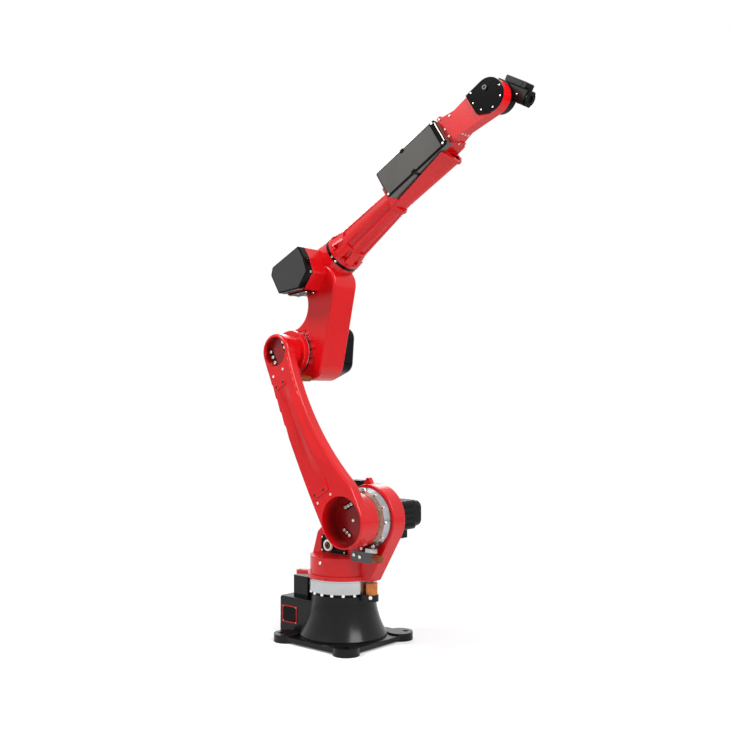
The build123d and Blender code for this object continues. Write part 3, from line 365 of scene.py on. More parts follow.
def finish_of(
    name, colour, shade, patch_mm, grain_mm, grain_height, rough, rough_swing, stretch, recesses=(), **surface
):
    """A surface whose colour drifts in patches, with a grain in its height and in its roughness.

    Inside its recesses, given as (axis, radius, face, depth), painted shade darkens the colour towards 0.4 of
    itself.
    """
    made = bpy.data.materials.new(name)
    made.use_nodes = True
    tree = made.node_tree
    tree.nodes.clear()
    where = add(tree, "ShaderNodeTexCoord").outputs["Object"]
    drawn = add(tree, "ShaderNodeMapping", {"Vector": where, "Scale": stretch}).outputs["Vector"]
    patch = add(tree, "ShaderNodeTexNoise", {"Vector": where, "Scale": per_mm(patch_mm), "Detail": 3.0})
    grain = add(tree, "ShaderNodeTexNoise", {"Vector": drawn, "Scale": per_mm(grain_mm), "Detail": 4.0})
    drift_span = {"Value": patch.outputs["Fac"], "From Min": 0.35, "From Max": 0.65}
    drift = add(tree, "ShaderNodeMapRange", drift_span).outputs["Result"]
    tint = add(tree, "ShaderNodeMix", {0: drift, 6: (*shade, 1), 7: (*colour, 1)}, data_type="RGBA")
    # Painted shade: the colour at 0.4 of itself, mixed in deeper inside each recess.
    painted_shade_colour = (*faded(colour, 0.4), 1)
    for recess in recesses:
        mixed = {0: painted_shade_share(tree, where, *recess), 6: tint.outputs[2], 7: painted_shade_colour}
        tint = add(tree, "ShaderNodeMix", mixed, data_type="RGBA")
    gloss_span = {
        "Value": grain.outputs["Fac"],
        "From Min": 0.3,
        "From Max": 0.7,
        "To Min": rough - rough_swing,
        "To Max": rough + rough_swing,
    }
    gloss = add(tree, "ShaderNodeMapRange", gloss_span)
    relief = {"Height": grain.outputs["Fac"], "Strength": 1.0, "Distance": grain_height * MM}
    height = add(tree, "ShaderNodeBump", relief)
    skin = {
        "Base Color": tint.outputs[2],
        "Roughness": gloss.outputs["Result"],
        "Normal": height.outputs["Normal"],
        **surface,
    }
    shader = add(tree, "ShaderNodeBsdfPrincipled", skin)
    add(tree, "ShaderNodeOutputMaterial", {"Surface": shader.outputs["BSDF"]})
    FINISHES[name] = made


class FinishColours(bpy.types.PropertyGroup):
    """Colours of the arm's finishes."""

    red_enamel: bpy.props.FloatVectorProperty(
        name="Red enamel",
        description="Sprayed enamel of the castings",
        subtype="COLOR",
        default=linear("D40A12"),
        min=0,
        max=1,
    )
    base_black: bpy.props.FloatVectorProperty(
        name="Base black",
        description="Textured epoxy paint of the base",
        subtype="COLOR",
        default=linear("0E0E0F"),
        min=0,
        max=1,
    )
    cover_charcoal: bpy.props.FloatVectorProperty(
        name="Cover charcoal",
        description="Vacuum-formed cover of the pod",
        subtype="COLOR",
        default=linear("373737"),
        min=0,
        max=1,
    )
    motor_black: bpy.props.FloatVectorProperty(
        name="Motor black",
        description="Powder coat of the motors and the wrist",
        subtype="COLOR",
        default=linear("0E0E0F"),
        min=0,
        max=1,
    )
    amber: bpy.props.FloatVectorProperty(
        name="Amber",
        description="Cast polyurethane of the slewing stop",
        subtype="COLOR",
        default=linear("E07C1A"),
        min=0,
        max=1,
    )


class ScrewSizes(bpy.types.PropertyGroup):
    """Head radii of the screws, in metres."""

    ring_head: bpy.props.FloatProperty(
        name="Slewing ring head",
        description="Head radius of the screws under the slewing ring",
        default=7.0 * MM,
        unit="LENGTH",
    )
    hub_head: bpy.props.FloatProperty(
        name="Hub head",
        description="Head radius of the screws in the arm's recesses",
        default=7.0 * MM,
        unit="LENGTH",
    )
    cover_head: bpy.props.FloatProperty(
        name="Cover head",
        description="Head radius of the screws that hold the covers",
        default=4.6 * MM,
        unit="LENGTH",
    )


class StudioSettings(bpy.types.PropertyGroup):
    """Floor, lamps and camera."""

    key_power: bpy.props.FloatProperty(
        name="Key lamp", description="Power of the lamp in front of the arm", default=145.0, unit="POWER"
    )
    fill_power: bpy.props.FloatProperty(
        name="Fill lamp", description="Power of the lamp on the near side", default=110.0, unit="POWER"
    )
    sky: bpy.props.FloatProperty(
        name="Sky", description="Strength of the even light from all round", default=0.26, min=0, max=1
    )
    floor_colour: bpy.props.FloatVectorProperty(
        name="Floor",
        description="Paper of the floor",
        subtype="COLOR",
        default=linear("F4F4F4"),
        min=0,
        max=1,
    )
    lens: bpy.props.FloatProperty(name="Lens", description="Focal length in millimetres", default=46.85)


class ARM_OT_finishes(bpy.types.Operator):
    """Make the finishes and paint the solids with them."""

    bl_idname = "arm.finishes"
    bl_label = "Finishes"

    def execute(self, context):
        pick = context.scene.arm_colours
        wet, soft = {"Specular IOR Level": 0.4}, {"Specular IOR Level": 0.25}
        dull, dark = {"Specular IOR Level": 0.16}, {"Specular IOR Level": 0.1}
        metal, half_metal = {"Metallic": 1.0}, {"Metallic": 0.6}
        gel = {"Specular IOR Level": 0.4, "Transmission Weight": 0.2, "Coat Weight": 0.3}
        level, upright, round_marks = (1, 1, 1), (1, 1, 0.04), (1, 1, 8)
        # Axis, radius, level where the painted shade starts, and how deep it grows, of each recess.
        painted_shade_places = ((SHOULDER, 95, -187, 45), (ELBOW, 59, -187, 18))
        shaded = {**wet, "recesses": painted_shade_places}
        mirror = {"Specular IOR Level": 0.5}
        # Name, colour, share of it in the darker patches, patch and grain in mm, grain height in mm,
        # roughness and its swing, stretch of the grain, and the rest of the shader. Where the real grain
        # is under 1 mm, it is drawn at 1.5 to 3 mm, because it would not show otherwise.
        recipes = (
            # Sprayed enamel on sand-cast metal: deep gloss over a slightly wavy skin. Its orange peel
            # of about 2 mm is drawn at 12 mm, as coarse as it needs to show.
            ("sprayed_red_enamel", pick.red_enamel, 0.9, 160, 12, 0.006, 0.26, 0.012, level, wet),
            # The same enamel on the upper arm, with painted shade that darkens it in the recesses.
            ("shaded_red_enamel", pick.red_enamel, 0.9, 160, 12, 0.006, 0.26, 0.012, level, shaded),
            # Textured epoxy on cast iron: satin black, pebbled at about 1.5 mm, drawn at 4 mm.
            ("textured_black_epoxy", pick.base_black, 0.6, 140, 4, 0.05, 0.22, 0.06, level, soft),
            # Powder coat on die-cast aluminium: deep black with a soft sheen.
            ("black_powder_coat", pick.motor_black, 0.7, 60, 3, 0.05, 0.34, 0.06, level, dull),
            # Vacuum-formed ABS sheet: even charcoal with broad soft reflections.
            ("charcoal_abs_sheet", pick.cover_charcoal, 0.8, 260, 2.5, 0.012, 0.3, 0.04, level, soft),
            # Thicker satin ABS of the forearm cover: a lighter grey that mirrors the floor softly.
            ("satin_grey_abs", linear("524F4C"), 0.7, 320, 2.5, 0.01, 0.2, 0.03, level, mirror),
            # Gloss ABS of bands, edges and wrist cover: black with small clear highlights.
            ("gloss_black_abs", linear("080809"), 0.7, 80, 3, 0.01, 0.14, 0.03, level, dark),
            # Ground and turned steel: bright, with fine tool marks that run round, drawn flat and wide.
            ("turned_steel", linear("BCBEC0"), 0.85, 110, 3, 0.004, 0.2, 0.05, round_marks, metal),
            # Oiled steel of the reducer rings: a darker blue-grey.
            ("oiled_reducer_steel", linear("B4B3B8"), 0.75, 30, 3, 0.01, 0.18, 0.06, level, metal),
            # Bronze of the wear ring: warm brown metal under oil.
            ("oiled_bronze", linear("A07C6C"), 0.7, 25, 3, 0.012, 0.24, 0.06, level, metal),
            # Zinc plate on screws: pale, slightly cloudy.
            ("zinc_plated_screw", linear("F4F2EC"), 0.9, 6, 1.5, 0.006, 0.26, 0.05, level, metal),
            # Black oxide on screws and fittings: dark with a dull metal glint.
            ("black_oxide_screw", linear("1C1C1E"), 0.7, 6, 1.5, 0.01, 0.36, 0.06, level, half_metal),
            # Phosphated plate steel: dull grey, mottled by crystals of about 2 mm.
            ("phosphated_plate", linear("56585A"), 0.85, 12, 2, 0.03, 0.42, 0.08, level, half_metal),
            # Nitrile seal rubber: black and matt. The same black is painted shade on the floors of the upper
            # arm's screw slots.
            ("nitrile_seal", linear("121212"), 0.7, 20, 2, 0.02, 0.5, 0.06, level, dull),
            # Moulded nylon of the lock ring: clean white with a soft sheen.
            ("white_nylon", linear("F0F0EE"), 0.95, 20, 2, 0.01, 0.36, 0.05, level, soft),
            # Brass of the contacts: small yellow glints.
            ("brass_contact", linear("C9A24D"), 0.85, 8, 1.5, 0.01, 0.28, 0.05, level, metal),
            # Cast polyurethane: clear amber that glows, streaked upright by the mould every 5 mm.
            ("amber_polyurethane", pick.amber, 0.45, 30, 5, 0.12, 0.2, 0.05, upright, gel),
            # The same resin, older and browner, on the small stops.
            ("brown_polyurethane", linear("8C4A20"), 0.6, 12, 3, 0.04, 0.26, 0.05, level, soft),
        )
        for name, colour, share, *rest, surface in recipes:
            finish_of(name, list(colour), faded(colour, share), *rest, **surface)
        painted = {
            "sprayed_red_enamel": (
                "turret_casting elbow_casting elbow_ring forearm_tube forearm_housing wrist_arm"
            ),
            "shaded_red_enamel": "upper_arm",
            "textured_black_epoxy": "base_casting cable_riser",
            "black_powder_coat": (
                "shoulder_motor shoulder_plug slew_motor wrist_housing wrist_motor top_box connector_panel"
                " gland_plug tool_flange"
            ),
            "charcoal_abs_sheet": "pod_cover",
            "satin_grey_abs": "forearm_cover",
            "gloss_black_abs": "elbow_motor_cover pod_sole wrist_cover gland_plate forearm_ring",
            "turned_steel": "slew_ring wrist_plug gland_socket",
            "oiled_reducer_steel": "shoulder_ring",
            "phosphated_plate": "shoulder_stop_plate",
            "amber_polyurethane": "slew_stop",
            "brown_polyurethane": "shoulder_stop elbow_stop",
        }
        for finish, names in painted.items():
            for name in names.split():
                skin = NODES[name].data.materials
                skin.clear()
                skin.append(FINISHES[finish])
        return {"FINISHED"}


class ARM_OT_base_pieces(bpy.types.Operator):
    """Add the ring screws, the bare plate and the connectors of the base."""

    bl_idname = "arm.base_pieces"
    bl_label = "Base"

    def execute(self, context):
        ring_low, ring_high = box_mm("slew_ring")
        heads, reach = 18, ring_high[0] - 7
        turn = circle(heads, 12)
        places = np.stack([reach * np.cos(turn), reach * np.sin(turn), np.full(heads, ring_low[2])], -1)
        ring_screws = screws("floor", places, DOWN, context.scene.arm_screws.ring_head / MM, 10)
        stop_middle, stop_way = np.array([156, -14, 188]), np.array([0.5, -0.86, 0])
        stop_screw = screws("floor", stop_middle + 24.5 * stop_way, stop_way, 7, 6)
        bright = joined(ring_screws, stop_screw)
        add_piece("slew_ring_screws", bright, "zinc_plated_screw", "base")

        box_side = -100
        plate = rounded(box_corners(-193.5, 86, 80, 66), 3)
        bare = facing_near("floor", slab(plate, 0, 1.4, 0.4), box_side)
        add_piece("bare_plate", bare, "gloss_black_abs", "base")
        edge = facing_near("floor", bead(plate, 2, 1.2, 2, 6), box_side)
        add_piece("bare_plate_frame", edge, "sprayed_red_enamel", "base")
        rivet = turned([(0, 0), (2.4, 0), (2.2, 1), (1.2, 2.2), (0, 2.4)], 16)
        places = [(x, box_side, z) for x in (-228, -159) for z in (58, 114)]
        rivets = copies(rivet, on_link("floor", places), NEAR)
        add_piece("bare_plate_rivets", rivets, "zinc_plated_screw", "base")

        panel_low, panel_high = box_mm("connector_panel")
        mouth, panel_face, socket_z = panel_low[0], panel_high[0] - 6, 90
        corners = [(panel_face, y, z) for y in (-66, 66) for z in (56, 124)]
        panel_screws = screws("floor", corners, REAR, 4.5, 4.5)
        add_piece("panel_screws", panel_screws, "black_oxide_screw", "base")
        rims, contacts = [], []
        pin = turned([(0, 0), (1.6, 0), (1.6, 3), (0.8, 4), (0, 4)], 12)
        five = np.arange(-2, 3)
        for socket_y in (-35, 35):
            points, faces = bead(rounded(box_corners(socket_y, socket_z, 50, 60), 5), 2.5, -2.5, 2.5)
            rim = np.stack([mouth - points[:, 2], points[:, 0], points[:, 1]], -1)
            rims.append((on_link("floor", rim), faces))
            y, z = np.meshgrid(socket_y + five * 7.5, socket_z + five * 9.5)
            pins = np.stack([np.full(y.size, mouth + 4), y.ravel(), z.ravel()], -1)
            contacts.append(copies(pin, on_link("floor", pins), REAR))
        add_piece("connector_rims", joined(*rims), "phosphated_plate", "base")
        add_piece("connector_contacts", joined(*contacts), "brass_contact", "base")
        return {"FINISHED"}


class ARM_OT_turret_pieces(bpy.types.Operator):
    """Add the screws, wear ring, stop block and connectors of the turret."""

    bl_idname = "arm.turret_pieces"
    bl_label = "Turret"

    def execute(self, context):
        ring_screws = screws("shoulder", round_axis(109, circle(12, 27), -64), NEAR, 5.4, 9)
        low, high = box_mm("gland_plate")
        inset = 7
        across, up = (low[0] + inset, high[0] - inset), (low[2] + inset, high[2] - inset)
        gland_screws = screws("floor", [(x, low[1], z) for x in across for z in up], NEAR, 3.6, 3.5)
        stop_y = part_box("shoulder_stop_plate")[0][1] / MM
        stop_screws = screws("floor", [(133, stop_y, 350), (162, stop_y, 345)], NEAR, 6.5, 5)
        block_root, block_height, block_z = -72, 15, 371.5
        block_screw = screws("floor", (221, block_root - block_height, block_z), NEAR, 5, 3.5)
        drum_plug = screws("floor", (-1.6, -128.5, 309), (-0.012, -1, 0), 6, 3)
        bright = joined(ring_screws, gland_screws, stop_screws, block_screw, drum_plug)
        add_piece("turret_screws", bright, "zinc_plated_screw", "turret")
        block = slab(rounded(box_corners(209, block_z, 46, 17), 2), 0, block_height, 1.2)
        block = facing_near("floor", block, block_root)
        add_piece("stop_block", block, "turned_steel", "turret")
        wear = turned([(103, 70), (104.6, 71), (94.6, 81), (94.6, 91), (93, 91), (93, 80), (103, 70)], 96)
        wear_ring = copies(wear, on_link("shoulder", (0, 0, 0)), NEAR)
        add_piece("shoulder_wear_ring", wear_ring, "oiled_bronze", "turret")

        edge = np.radians(-77)
        grub_way = np.array([np.cos(edge), np.sin(edge), 0])
        grub = screws("floor", 137.6 * grub_way + (0, 0, 254), grub_way, 3.5, 0.8)
        flange = [(dx, 40, dz) for dx in (-56, 56) for dz in (-56, 56)]
        motor_screws = screws("shoulder", flange, FAR, 6, 7)
        cap_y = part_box("shoulder_motor")[1][1] / MM - 24
        cap = [(side * 50, cap_y, dz) for side in (-1, 1) for dz in (-30, 30)]
        cap_screws = screws("shoulder", cap, [(side, 0, 0) for side in (-1, -1, 1, 1)], 3.5, 2.5)
        dark = joined(grub, motor_screws, cap_screws)
        add_piece("turret_dark_screws", dark, "black_oxide_screw", "turret")

        low, high = box_mm("gland_socket")
        middle = (low + high) / 2
        mouth = np.array((middle[0], low[1], middle[2]))
        lock = turned([(14, 0), (21, 0), (22, 1.2), (22, 8), (20, 9.5), (16, 9.5), (14, 8), (14, 0)], 40)
        lock_ring = copies(lock, on_link("floor", mouth + (0, 8, 0)), NEAR)
        add_piece("gland_lock_ring", lock_ring, "white_nylon", "turret")
        seal = turned([(0, 0), (13.6, 0), (13.6, 0.6), (13, 1), (0, 1)], 32)
        insert = copies(seal, on_link("floor", mouth), NEAR)
        add_piece("gland_insert", insert, "nitrile_seal", "turret")
        pin = turned([(0, 0), (1.3, 0), (1.3, 1.6), (0.6, 2.4), (0, 2.4)], 10)
        contacts = copies(pin, on_link("floor", round_axis(7.5, circle(8, 10), 0) + mouth), NEAR)
        add_piece("gland_pins", contacts, "brass_contact", "turret")

        low, high = box_mm("top_box")
        lid = rounded(box_corners((low[0] + high[0]) / 2, high[2] - 13, 50, 18), 3)
        seam = facing_near("floor", bead(lid, 0, 0, 1.2, 6), low[1])
        add_piece("top_box_seam", seam, "gloss_black_abs", "turret")
        return {"FINISHED"}


class ARM_OT_upper_arm_pieces(bpy.types.Operator):
    """Add the soft channel, the screws in the recesses, painted shade in their slots and the pads of the
    upper arm.
    """

    bl_idname = "arm.upper_arm_pieces"
    bl_label = "Upper arm"

    def execute(self, context):
        face, hub_floor, tip_floor = -190, -112, -161
        # The channel's edges are parabolas through their ends and middle, the arm's front edge is two.
        foot, head = 190, 575
        stations = (foot, (foot + head) / 2, head)
        rear = np.poly1d(np.polyfit(stations, (48, 72, 60), 2))
        front = np.poly1d(np.polyfit(stations, (48, 36, 28), 2))
        along = np.linspace(foot + 1, head - 0.5, 90)
        dip = -8.2 * eased((along - foot) / 120) * eased((head - along) / 60)
        channel = crowned(along, rear(along), front(along), dip, 8.9)
        rib_foot, rib_head, waist = 185, 590, 435
        along = np.linspace(rib_foot, rib_head, 90)
        edge = -24 - np.where(along > waist, 3.2e-4, 5.9e-4) * (along - waist) ** 2
        swell = 9 * eased((along - rib_foot) / 110) * eased((rib_head - along) / 90)
        rib = crowned(along, front(np.clip(along, foot, head)), edge, swell, 3)
        relief = joined(facing_near("upper_arm", channel, face), facing_near("upper_arm", rib, face))
        add_piece("upper_arm_channel", relief, "sprayed_red_enamel", "upper_link")

        size = context.scene.arm_screws.hub_head / MM
        hub_reach, hub_turns, hub_aside = 58, circle(3, -4), [-16.0, 0, 16]
        tip_reach, tip_turns, tip_aside = 38, circle(2, 30), np.array([22.0, -2, -26, -22, 2, 26])
        hub_places = rows_round_axis(hub_reach, np.repeat(hub_turns, 3), np.tile(hub_aside, 3), hub_floor)
        hub = screws("shoulder", hub_places, NEAR, size, 12.5)
        tip_places = rows_round_axis(tip_reach, np.repeat(tip_turns, 3), tip_aside, tip_floor)
        tip = screws("elbow_level", tip_places, NEAR, size, 9)
        plug = screws("shoulder", (0, -121, 0), NEAR, 6, 4)
        corners = [(109.6, face, -3), (109.2, face, 71), (637, face, 52), (637, face, -8)]
        corner_screws = screws("upper_arm", corners, NEAR, 5, 3)
        bright = joined(hub, tip, plug, corner_screws)
        add_piece("upper_arm_screws", bright, "zinc_plated_screw", "upper_link")

        # Thin black slabs on the slot floors are painted shade round the screws.
        hub_slot = rounded(box_corners(hub_reach, 0, 23, 51), 11)
        tip_slot = rounded(box_corners(tip_reach, 0, 21, 69), 10)
        hub_slot_shades = [slab(spun(hub_slot, turn), 0, 0.8, 0.2) for turn in hub_turns]
        tip_slot_shades = [slab(spun(tip_slot, turn), 0, 3.2, 0.2) for turn in tip_turns]
        slot_shades = [facing_near("shoulder", slot_shade, hub_floor) for slot_shade in hub_slot_shades]
        slot_shades += [facing_near("elbow_level", slot_shade, tip_floor) for slot_shade in tip_slot_shades]
        add_piece("screw_slot_liners", joined(*slot_shades), "nitrile_seal", "upper_link")

        foot_pad = rounded([(128, -4), (178, -4), (178, 84), (128, 84)], 5)
        head_pad = rounded([(581, 2), (602, 6), (604, 66), (579, 60)], 5)
        pads = [facing_near("upper_arm", slab(pad, -1, 4, 1.2), face) for pad in (foot_pad, head_pad)]
        add_piece("upper_arm_pads", joined(*pads), "sprayed_red_enamel", "upper_link")
        holes = [(a, face - 3.6, b) for a, b in ((140, 70), (140.5, 20), (592, 54), (592, 14))]
        pad_screws = screws("upper_arm", holes, NEAR, 4.2, 1.4)
        add_piece("upper_arm_pad_screws", pad_screws, "black_oxide_screw", "upper_link")
        return {"FINISHED"}


class ARM_OT_elbow_pieces(bpy.types.Operator):
    """Add the screws and bands of the elbow, its pod and its covers."""

    bl_idname = "arm.elbow_pieces"
    bl_label = "Elbow"

    def execute(self, context):
        size = context.scene.arm_screws.cover_head / MM
        turn = circle(16, 7)
        ring_places = round_axis(85.9, turn, -80)
        ring_screws = screws("elbow_level", ring_places, round_axis(1, turn, 0), 5.2, 2.6)
        add_piece("elbow_ring_screws", ring_screws, "black_oxide_screw", "elbow_link")
        hoop = turned([(83, 73), (86.5, 73), (86.5, 86), (85.5, 87), (83, 87), (83, 73)], 96)
        bolt_ring = copies(hoop, on_link("elbow_level", (0, 0, 0)), NEAR)
        add_piece("elbow_bolt_ring", bolt_ring, "turned_steel", "elbow_link")
        casting_places = round_axis(100, np.radians([10, 27, 44, 61]), -72)
        casting_screws = screws("elbow_level", casting_places, NEAR, 5, 5)
        add_piece("elbow_casting_screws", casting_screws, "sprayed_red_enamel", "elbow_link")

        # Corners of the pod, as shares of its half width round its middle.
        front_shares = [(1.06, 0.72), (1.06, 0.08), (0.91, -0.59), (0.06, -0.93)]
        rear_shares = [(-1.11, -0.36), (-1.09, 0.64), (-0.8, 0.92)]
        half_width, pod_root = 85, -150
        middle, corners = np.array((225, 215)), half_width * np.array(front_shares + rear_shares)
        out = corners / np.linalg.norm(corners, axis=1, keepdims=True)
        at = middle + corners - 5.6 * out
        rim = np.stack([at[:, 0], np.full(len(at), pod_root - 11.0), at[:, 1]], -1)
        pod_screws = screws("elbow", rim, np.stack([out[:, 0], 0 * out[:, 0], out[:, 1]], -1), size, 5)
        run = corners[4] - corners[3]
        below = np.array([-run[1], run[0]]) / np.linalg.norm(run)
        sole = middle + corners[3] + run * np.array([[0.12], [0.5], [0.88]]) + 5.8 * below
        sole_places = [(along, y, across) for y in (-90, -130) for along, across in sole]
        sole_screws = screws("elbow", sole_places, (below[0], 0, below[1]), size, 2.5)
        roll = np.radians([196, 212, 290])
        roll_way = np.stack([0 * roll, np.cos(roll), np.sin(roll)], -1)
        roll_screws = screws("forearm", 77.2 * roll_way + (-6, 0, 0), roll_way, 4.4, 2.6)
        bright = joined(pod_screws, sole_screws, roll_screws)
        add_piece("elbow_screws", bright, "zinc_plated_screw", "elbow_link")

        outline = rounded(corners + middle, 9)
        band = carried(outline, [(-0.3, 0.5), (-0.3, 28.8), (2.9, 32.5), (5.5, 32.5), (5.5, 31), (3, 0.5)])
        seam = bead(outline, 0.6, 1.2, 1.4, 6)
        trim = joined(facing_near("elbow", band, pod_root), facing_near("elbow", seam, pod_root))
        add_piece("pod_cover_trim", trim, "gloss_black_abs", "elbow_link")
        motor = round_axis(84, np.radians([70, 130, 190, 250, 310]), 132.6)
        motor_screws = screws("elbow", motor, FAR, size, 3)
        add_piece("motor_cover_screws", motor_screws, "black_oxide_screw", "elbow_link")
        return {"FINISHED"}


class ARM_OT_forearm_pieces(bpy.types.Operator):
    """Add the screws, the cover trim and the wrist plug of the forearm and wrist arm."""

    bl_idname = "arm.forearm_pieces"
    bl_label = "Forearm"

    def execute(self, context):
        size = context.scene.arm_screws.cover_head / MM
        turn = circle(8)
        root = np.stack([np.full(len(turn), 16.0), 71 * np.cos(turn), 71 * np.sin(turn)], -1)
        root_screws = screws("forearm", root, LEVEL, 7, 9)
        add_piece("forearm_root_screws", root_screws, "sprayed_red_enamel", "forearm_link")

        face = -106
        outline = rounded([(351, -30), (655, -41), (655, 67), (351, 83)], 6)
        line = carried(outline, [(-0.4, -7), (-0.4, -3.6), (3.6, 0.5), (6, 0.5), (6, -1), (3, -7)])
        clips = [slab(rounded(box_corners(491, across, 17, 12), 3), -30, 3, 1.2) for across in (-29, 69)]
        band = slab(rounded([(632, -38), (653, -39), (653, 65), (632, 66)], 3), 0, 1.6, 0.6)
        trim = joined(*(facing_near("forearm", shape, face) for shape in (line, *clips, band)))
        add_piece("forearm_cover_trim", trim, "gloss_black_abs", "forearm_link")

        # Painted highlight: a thin bright zinc strip along the band's front edge, drawn for the white line
        # that runs there.
        strip = slab(rounded(box_corners(652.8, 13, 3.4, 84), 1.4), 0, 3.4, 0.5)
        strip = facing_near("forearm", strip, face + 1)
        neck_radius, neck_height = 3.6, 4
        flange = [(664, -80, 66), (704, -80, 46), (664, -80, 18), (664, -80, -13)]
        flange_screws = screws("forearm", flange, NEAR, neck_radius, neck_height)
        below = [(709, -74, -37.5), (708, -56, -37.5), (709, -40, -37.5), (664, -40, -34)]
        below_screws = screws("forearm", below, DOWN, neck_radius, neck_height)
        band_screws = screws("forearm", [(643, -107.4, 59), (643, -107.4, -32)], NEAR, size, 3)
        rear_screw = screws("forearm", (360, face, -22), NEAR, size, 2.5)
        cover = [(-52, 45), (-64, 8), (-51, -33), (-12, -58), (30, -46), (47, -14)]
        cover_screws = screws("wrist_side", [(a, -87, b) for a, b in cover], NEAR, 2.8, 3)
        bright = joined(strip, flange_screws, below_screws, band_screws, rear_screw, cover_screws)
        add_piece("forearm_screws", bright, "zinc_plated_screw", "forearm_link")

        plug_at = on_link("wrist_side", (0, -91, 20))
        rim = [(4.2, 0), (8.4, 0), (8.9, 0.6), (8.9, 2), (7.9, 2.8), (5, 2.8), (4.2, 2), (4.2, 0)]
        ring = copies(turned(rim, 40), plug_at, NEAR)
        add_piece("wrist_plug_ring", ring, "phosphated_plate", "forearm_link")
        pit = copies(turned([(0, 0), (4.4, 0), (4.4, 0.6), (0, 0.6)], 24), plug_at, NEAR)
        add_piece("wrist_plug_pit", pit, "nitrile_seal", "forearm_link")
        return {"FINISHED"}


class ARM_OT_wrist_pieces(bpy.types.Operator):
    """Add the screws and caps of the wrist unit."""

    bl_idname = "arm.wrist_pieces"
    bl_label = "Wrist"

    def execute(self, context):
        # The ring's screws stop where the motor and the nose stand.
        turn = circle(12, 15)
        turn = turn[(np.cos(turn) < 0.3) & (np.sin(turn) < 0.6)]
        ring_screws = screws("wrist", round_axis(55.6, turn, -26), round_axis(1, turn, 0), 3.2, 2.6)
        nose = [(70, side * 26.8, 30) for side in (-1, 1)]
        nose_screws = screws("wrist", nose, [NEAR, FAR], 3.2, 2.4)
        bright = joined(ring_screws, nose_screws)
        add_piece("wrist_screws", bright, "zinc_plated_screw", "wrist_link")
        cap, motor_side = slab(rounded(box_corners(43, 67, 60, 14), 3), 0, 1.6, 0.6), 24
        caps = joined(facing_near("wrist", cap, -motor_side), facing_far("wrist", cap, motor_side))
        add_piece("wrist_motor_caps", caps, "black_powder_coat", "wrist_link")
        return {"FINISHED"}


def standing(right, up, back, place):
    """Matrix of a lamp or a camera from its own unit vectors and its place."""
    return Matrix(np.vstack([np.column_stack([right, up, back, place]), (0, 0, 0, 1)]).tolist())


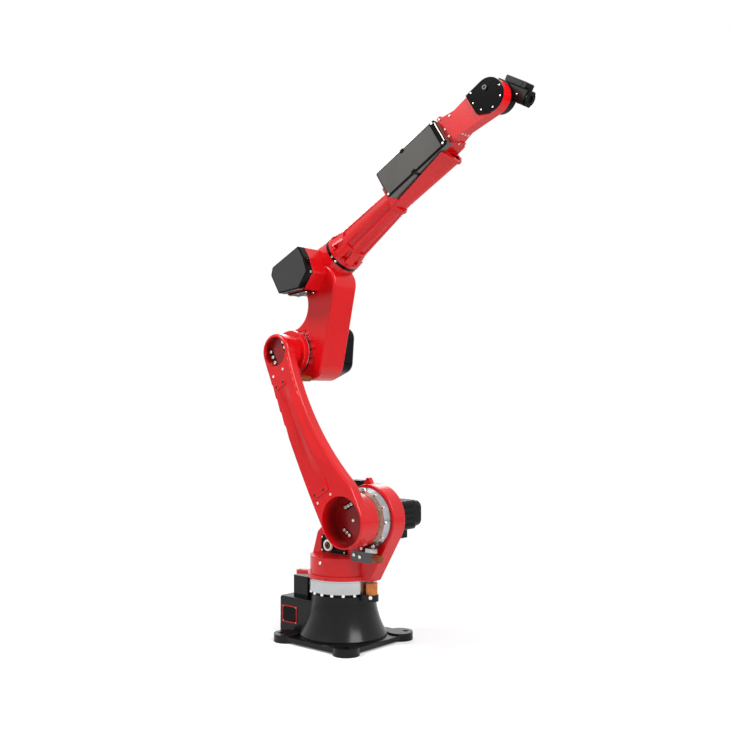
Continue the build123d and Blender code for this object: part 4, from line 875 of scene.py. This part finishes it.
class ARM_OT_studio(bpy.types.Operator):
    """Set up the pale floor, the lamps, the sky and the camera."""

    bl_idname = "arm.studio"
    bl_label = "Studio"

    def execute(self, context):
        scene, pick = context.scene, context.scene.arm_studio
        # Matt paper that takes the shadow near the arm and fades to plain white further out.
        paper = bpy.data.materials.new("floor_paper")
        paper.use_nodes = True
        tree = paper.node_tree
        tree.nodes.clear()
        where = add(tree, "ShaderNodeTexCoord").outputs["Object"]
        away = add(tree, "ShaderNodeVectorMath", {0: where}, operation="LENGTH").outputs["Value"]
        fade_span = {"Value": away, "From Min": 0.45, "From Max": 1.5}
        fade = add(tree, "ShaderNodeMapRange", fade_span, interpolation_type="SMOOTHSTEP").outputs["Result"]
        seen = add(tree, "ShaderNodeLightPath").outputs["Is Camera Ray"]
        share = add(tree, "ShaderNodeMath", {0: fade, 1: seen}, operation="MULTIPLY").outputs["Value"]
        matt = add(tree, "ShaderNodeBsdfDiffuse", {"Color": (*pick.floor_colour, 1)})
        lift = add(tree, "ShaderNodeMath", {0: seen, 1: 0.22}, operation="MULTIPLY")
        glow = add(tree, "ShaderNodeEmission", {"Strength": lift.outputs["Value"]})
        near = add(tree, "ShaderNodeAddShader", {0: matt.outputs["BSDF"], 1: glow.outputs["Emission"]})
        far = add(tree, "ShaderNodeEmission", {"Strength": 1.0})
        both = {0: share, 1: near.outputs["Shader"], 2: far.outputs["Emission"]}
        mixed = add(tree, "ShaderNodeMixShader", both)
        add(tree, "ShaderNodeOutputMaterial", {"Surface": mixed.outputs["Shader"]})
        points, faces = turned([(0, 0), (1500, 0), (3000, 0), (6000, 0), (12000, 0)], 48)
        mesh = bpy.data.meshes.new("floor")
        mesh.from_pydata((MM * points).tolist(), [], faces.tolist())
        mesh.materials.append(paper)
        floor = bpy.data.objects.new("floor", mesh)
        scene.collection.objects.link(floor)

        # White where it is seen, mirrored or looked through, and dim where it only lights the arm.
        sky = bpy.data.worlds.new("studio_sky")
        scene.world = sky
        sky.use_nodes = True
        tree = sky.node_tree
        tree.nodes.clear()
        path = add(tree, "ShaderNodeLightPath").outputs
        shown = path["Is Camera Ray"]
        for ray in ("Is Glossy Ray", "Is Transmission Ray"):
            either = add(tree, "ShaderNodeMath", {0: shown, 1: path[ray]}, operation="MAXIMUM")
            shown = either.outputs["Value"]
        level = add(tree, "ShaderNodeMapRange", {"Value": shown, "To Min": pick.sky, "To Max": 1.0})
        white = {"Color": (1, 1, 1, 1), "Strength": level.outputs["Result"]}
        air = add(tree, "ShaderNodeBackground", white)
        add(tree, "ShaderNodeOutputWorld", {"Surface": air.outputs["Background"]})

        aim, back_power = (0.1, 0, 0.9), 0.6 * pick.fill_power
        for name, place, size, power in (
            ("key_lamp", (3.4, -0.6, 3.4), 2.2, pick.key_power),
            ("fill_lamp", (-1.3, -2.3, 3.8), 1.2, pick.fill_power),
            ("back_lamp", (-2.4, 3.0, 3.0), 2.2, back_power),
        ):
            lamp = bpy.data.lights.new(name, "AREA")
            lamp.size, lamp.energy = size, power
            made = bpy.data.objects.new(name, lamp)
            back = np.array(place) - np.array(aim)
            back /= np.linalg.norm(back)
            right = np.cross((0, 0, 1), back)
            right /= np.linalg.norm(right)
            made.matrix_world = standing(right, np.cross(back, right), back, place)
            scene.collection.objects.link(made)

        # Solved from the photograph: how far the camera is turned and tilted, how far away it stands,
        # how far to the right, and how high.
        turn, tilt = np.radians(41.18), np.radians(2.05)
        distance, aside, height = 3.7, 0.08274, 0.92738
        right = np.array([np.cos(turn), np.sin(turn), 0])
        ahead = np.array([-np.sin(turn) * np.cos(tilt), np.cos(turn) * np.cos(tilt), np.sin(tilt)])
        place = distance * np.array([np.sin(turn), -np.cos(turn), 0]) + aside * right + (0, 0, height)
        shot = bpy.data.cameras.new("camera")
        shot.lens, shot.sensor_width = pick.lens, 36.0
        camera = bpy.data.objects.new("camera", shot)
        camera.matrix_world = standing(right, np.cross(right, ahead), -ahead, place)
        scene.collection.objects.link(camera)
        scene.camera = camera
        scene.view_settings.view_transform = "Standard"
        return {"FINISHED"}


OPERATORS = (
    ARM_OT_finishes,
    ARM_OT_base_pieces,
    ARM_OT_turret_pieces,
    ARM_OT_upper_arm_pieces,
    ARM_OT_elbow_pieces,
    ARM_OT_forearm_pieces,
    ARM_OT_wrist_pieces,
    ARM_OT_studio,
)


class ARM_PT_dressing(bpy.types.Panel):
    """Lists the settings and the steps."""

    bl_idname = "ARM_PT_dressing"
    bl_label = "Six-axis arm"
    bl_space_type = "VIEW_3D"
    bl_region_type = "UI"
    bl_category = "Six-axis arm"

    def draw(self, context):
        for group in (context.scene.arm_colours, context.scene.arm_screws, context.scene.arm_studio):
            for key in group.__annotations__:
                self.layout.prop(group, key)
        for step in OPERATORS:
            self.layout.operator(step.bl_idname)


GROUPS = {"arm_colours": FinishColours, "arm_screws": ScrewSizes, "arm_studio": StudioSettings}


def register():
    for made in (*GROUPS.values(), *OPERATORS, ARM_PT_dressing):
        bpy.utils.register_class(made)
    for key, group in GROUPS.items():
        setattr(bpy.types.Scene, key, bpy.props.PointerProperty(type=group))


def unregister():
    for key in GROUPS:
        delattr(bpy.types.Scene, key)
    for made in (ARM_PT_dressing, *reversed(OPERATORS), *GROUPS.values()):
        bpy.utils.unregister_class(made)


def main():
    register()
    bpy.ops.arm.finishes()
    bpy.ops.arm.base_pieces()
    bpy.ops.arm.turret_pieces()
    bpy.ops.arm.upper_arm_pieces()
    bpy.ops.arm.elbow_pieces()
    bpy.ops.arm.forearm_pieces()
    bpy.ops.arm.wrist_pieces()
    bpy.ops.arm.studio()
    bpy.context.view_layer.update()


if __name__ == "__main__":
    main()
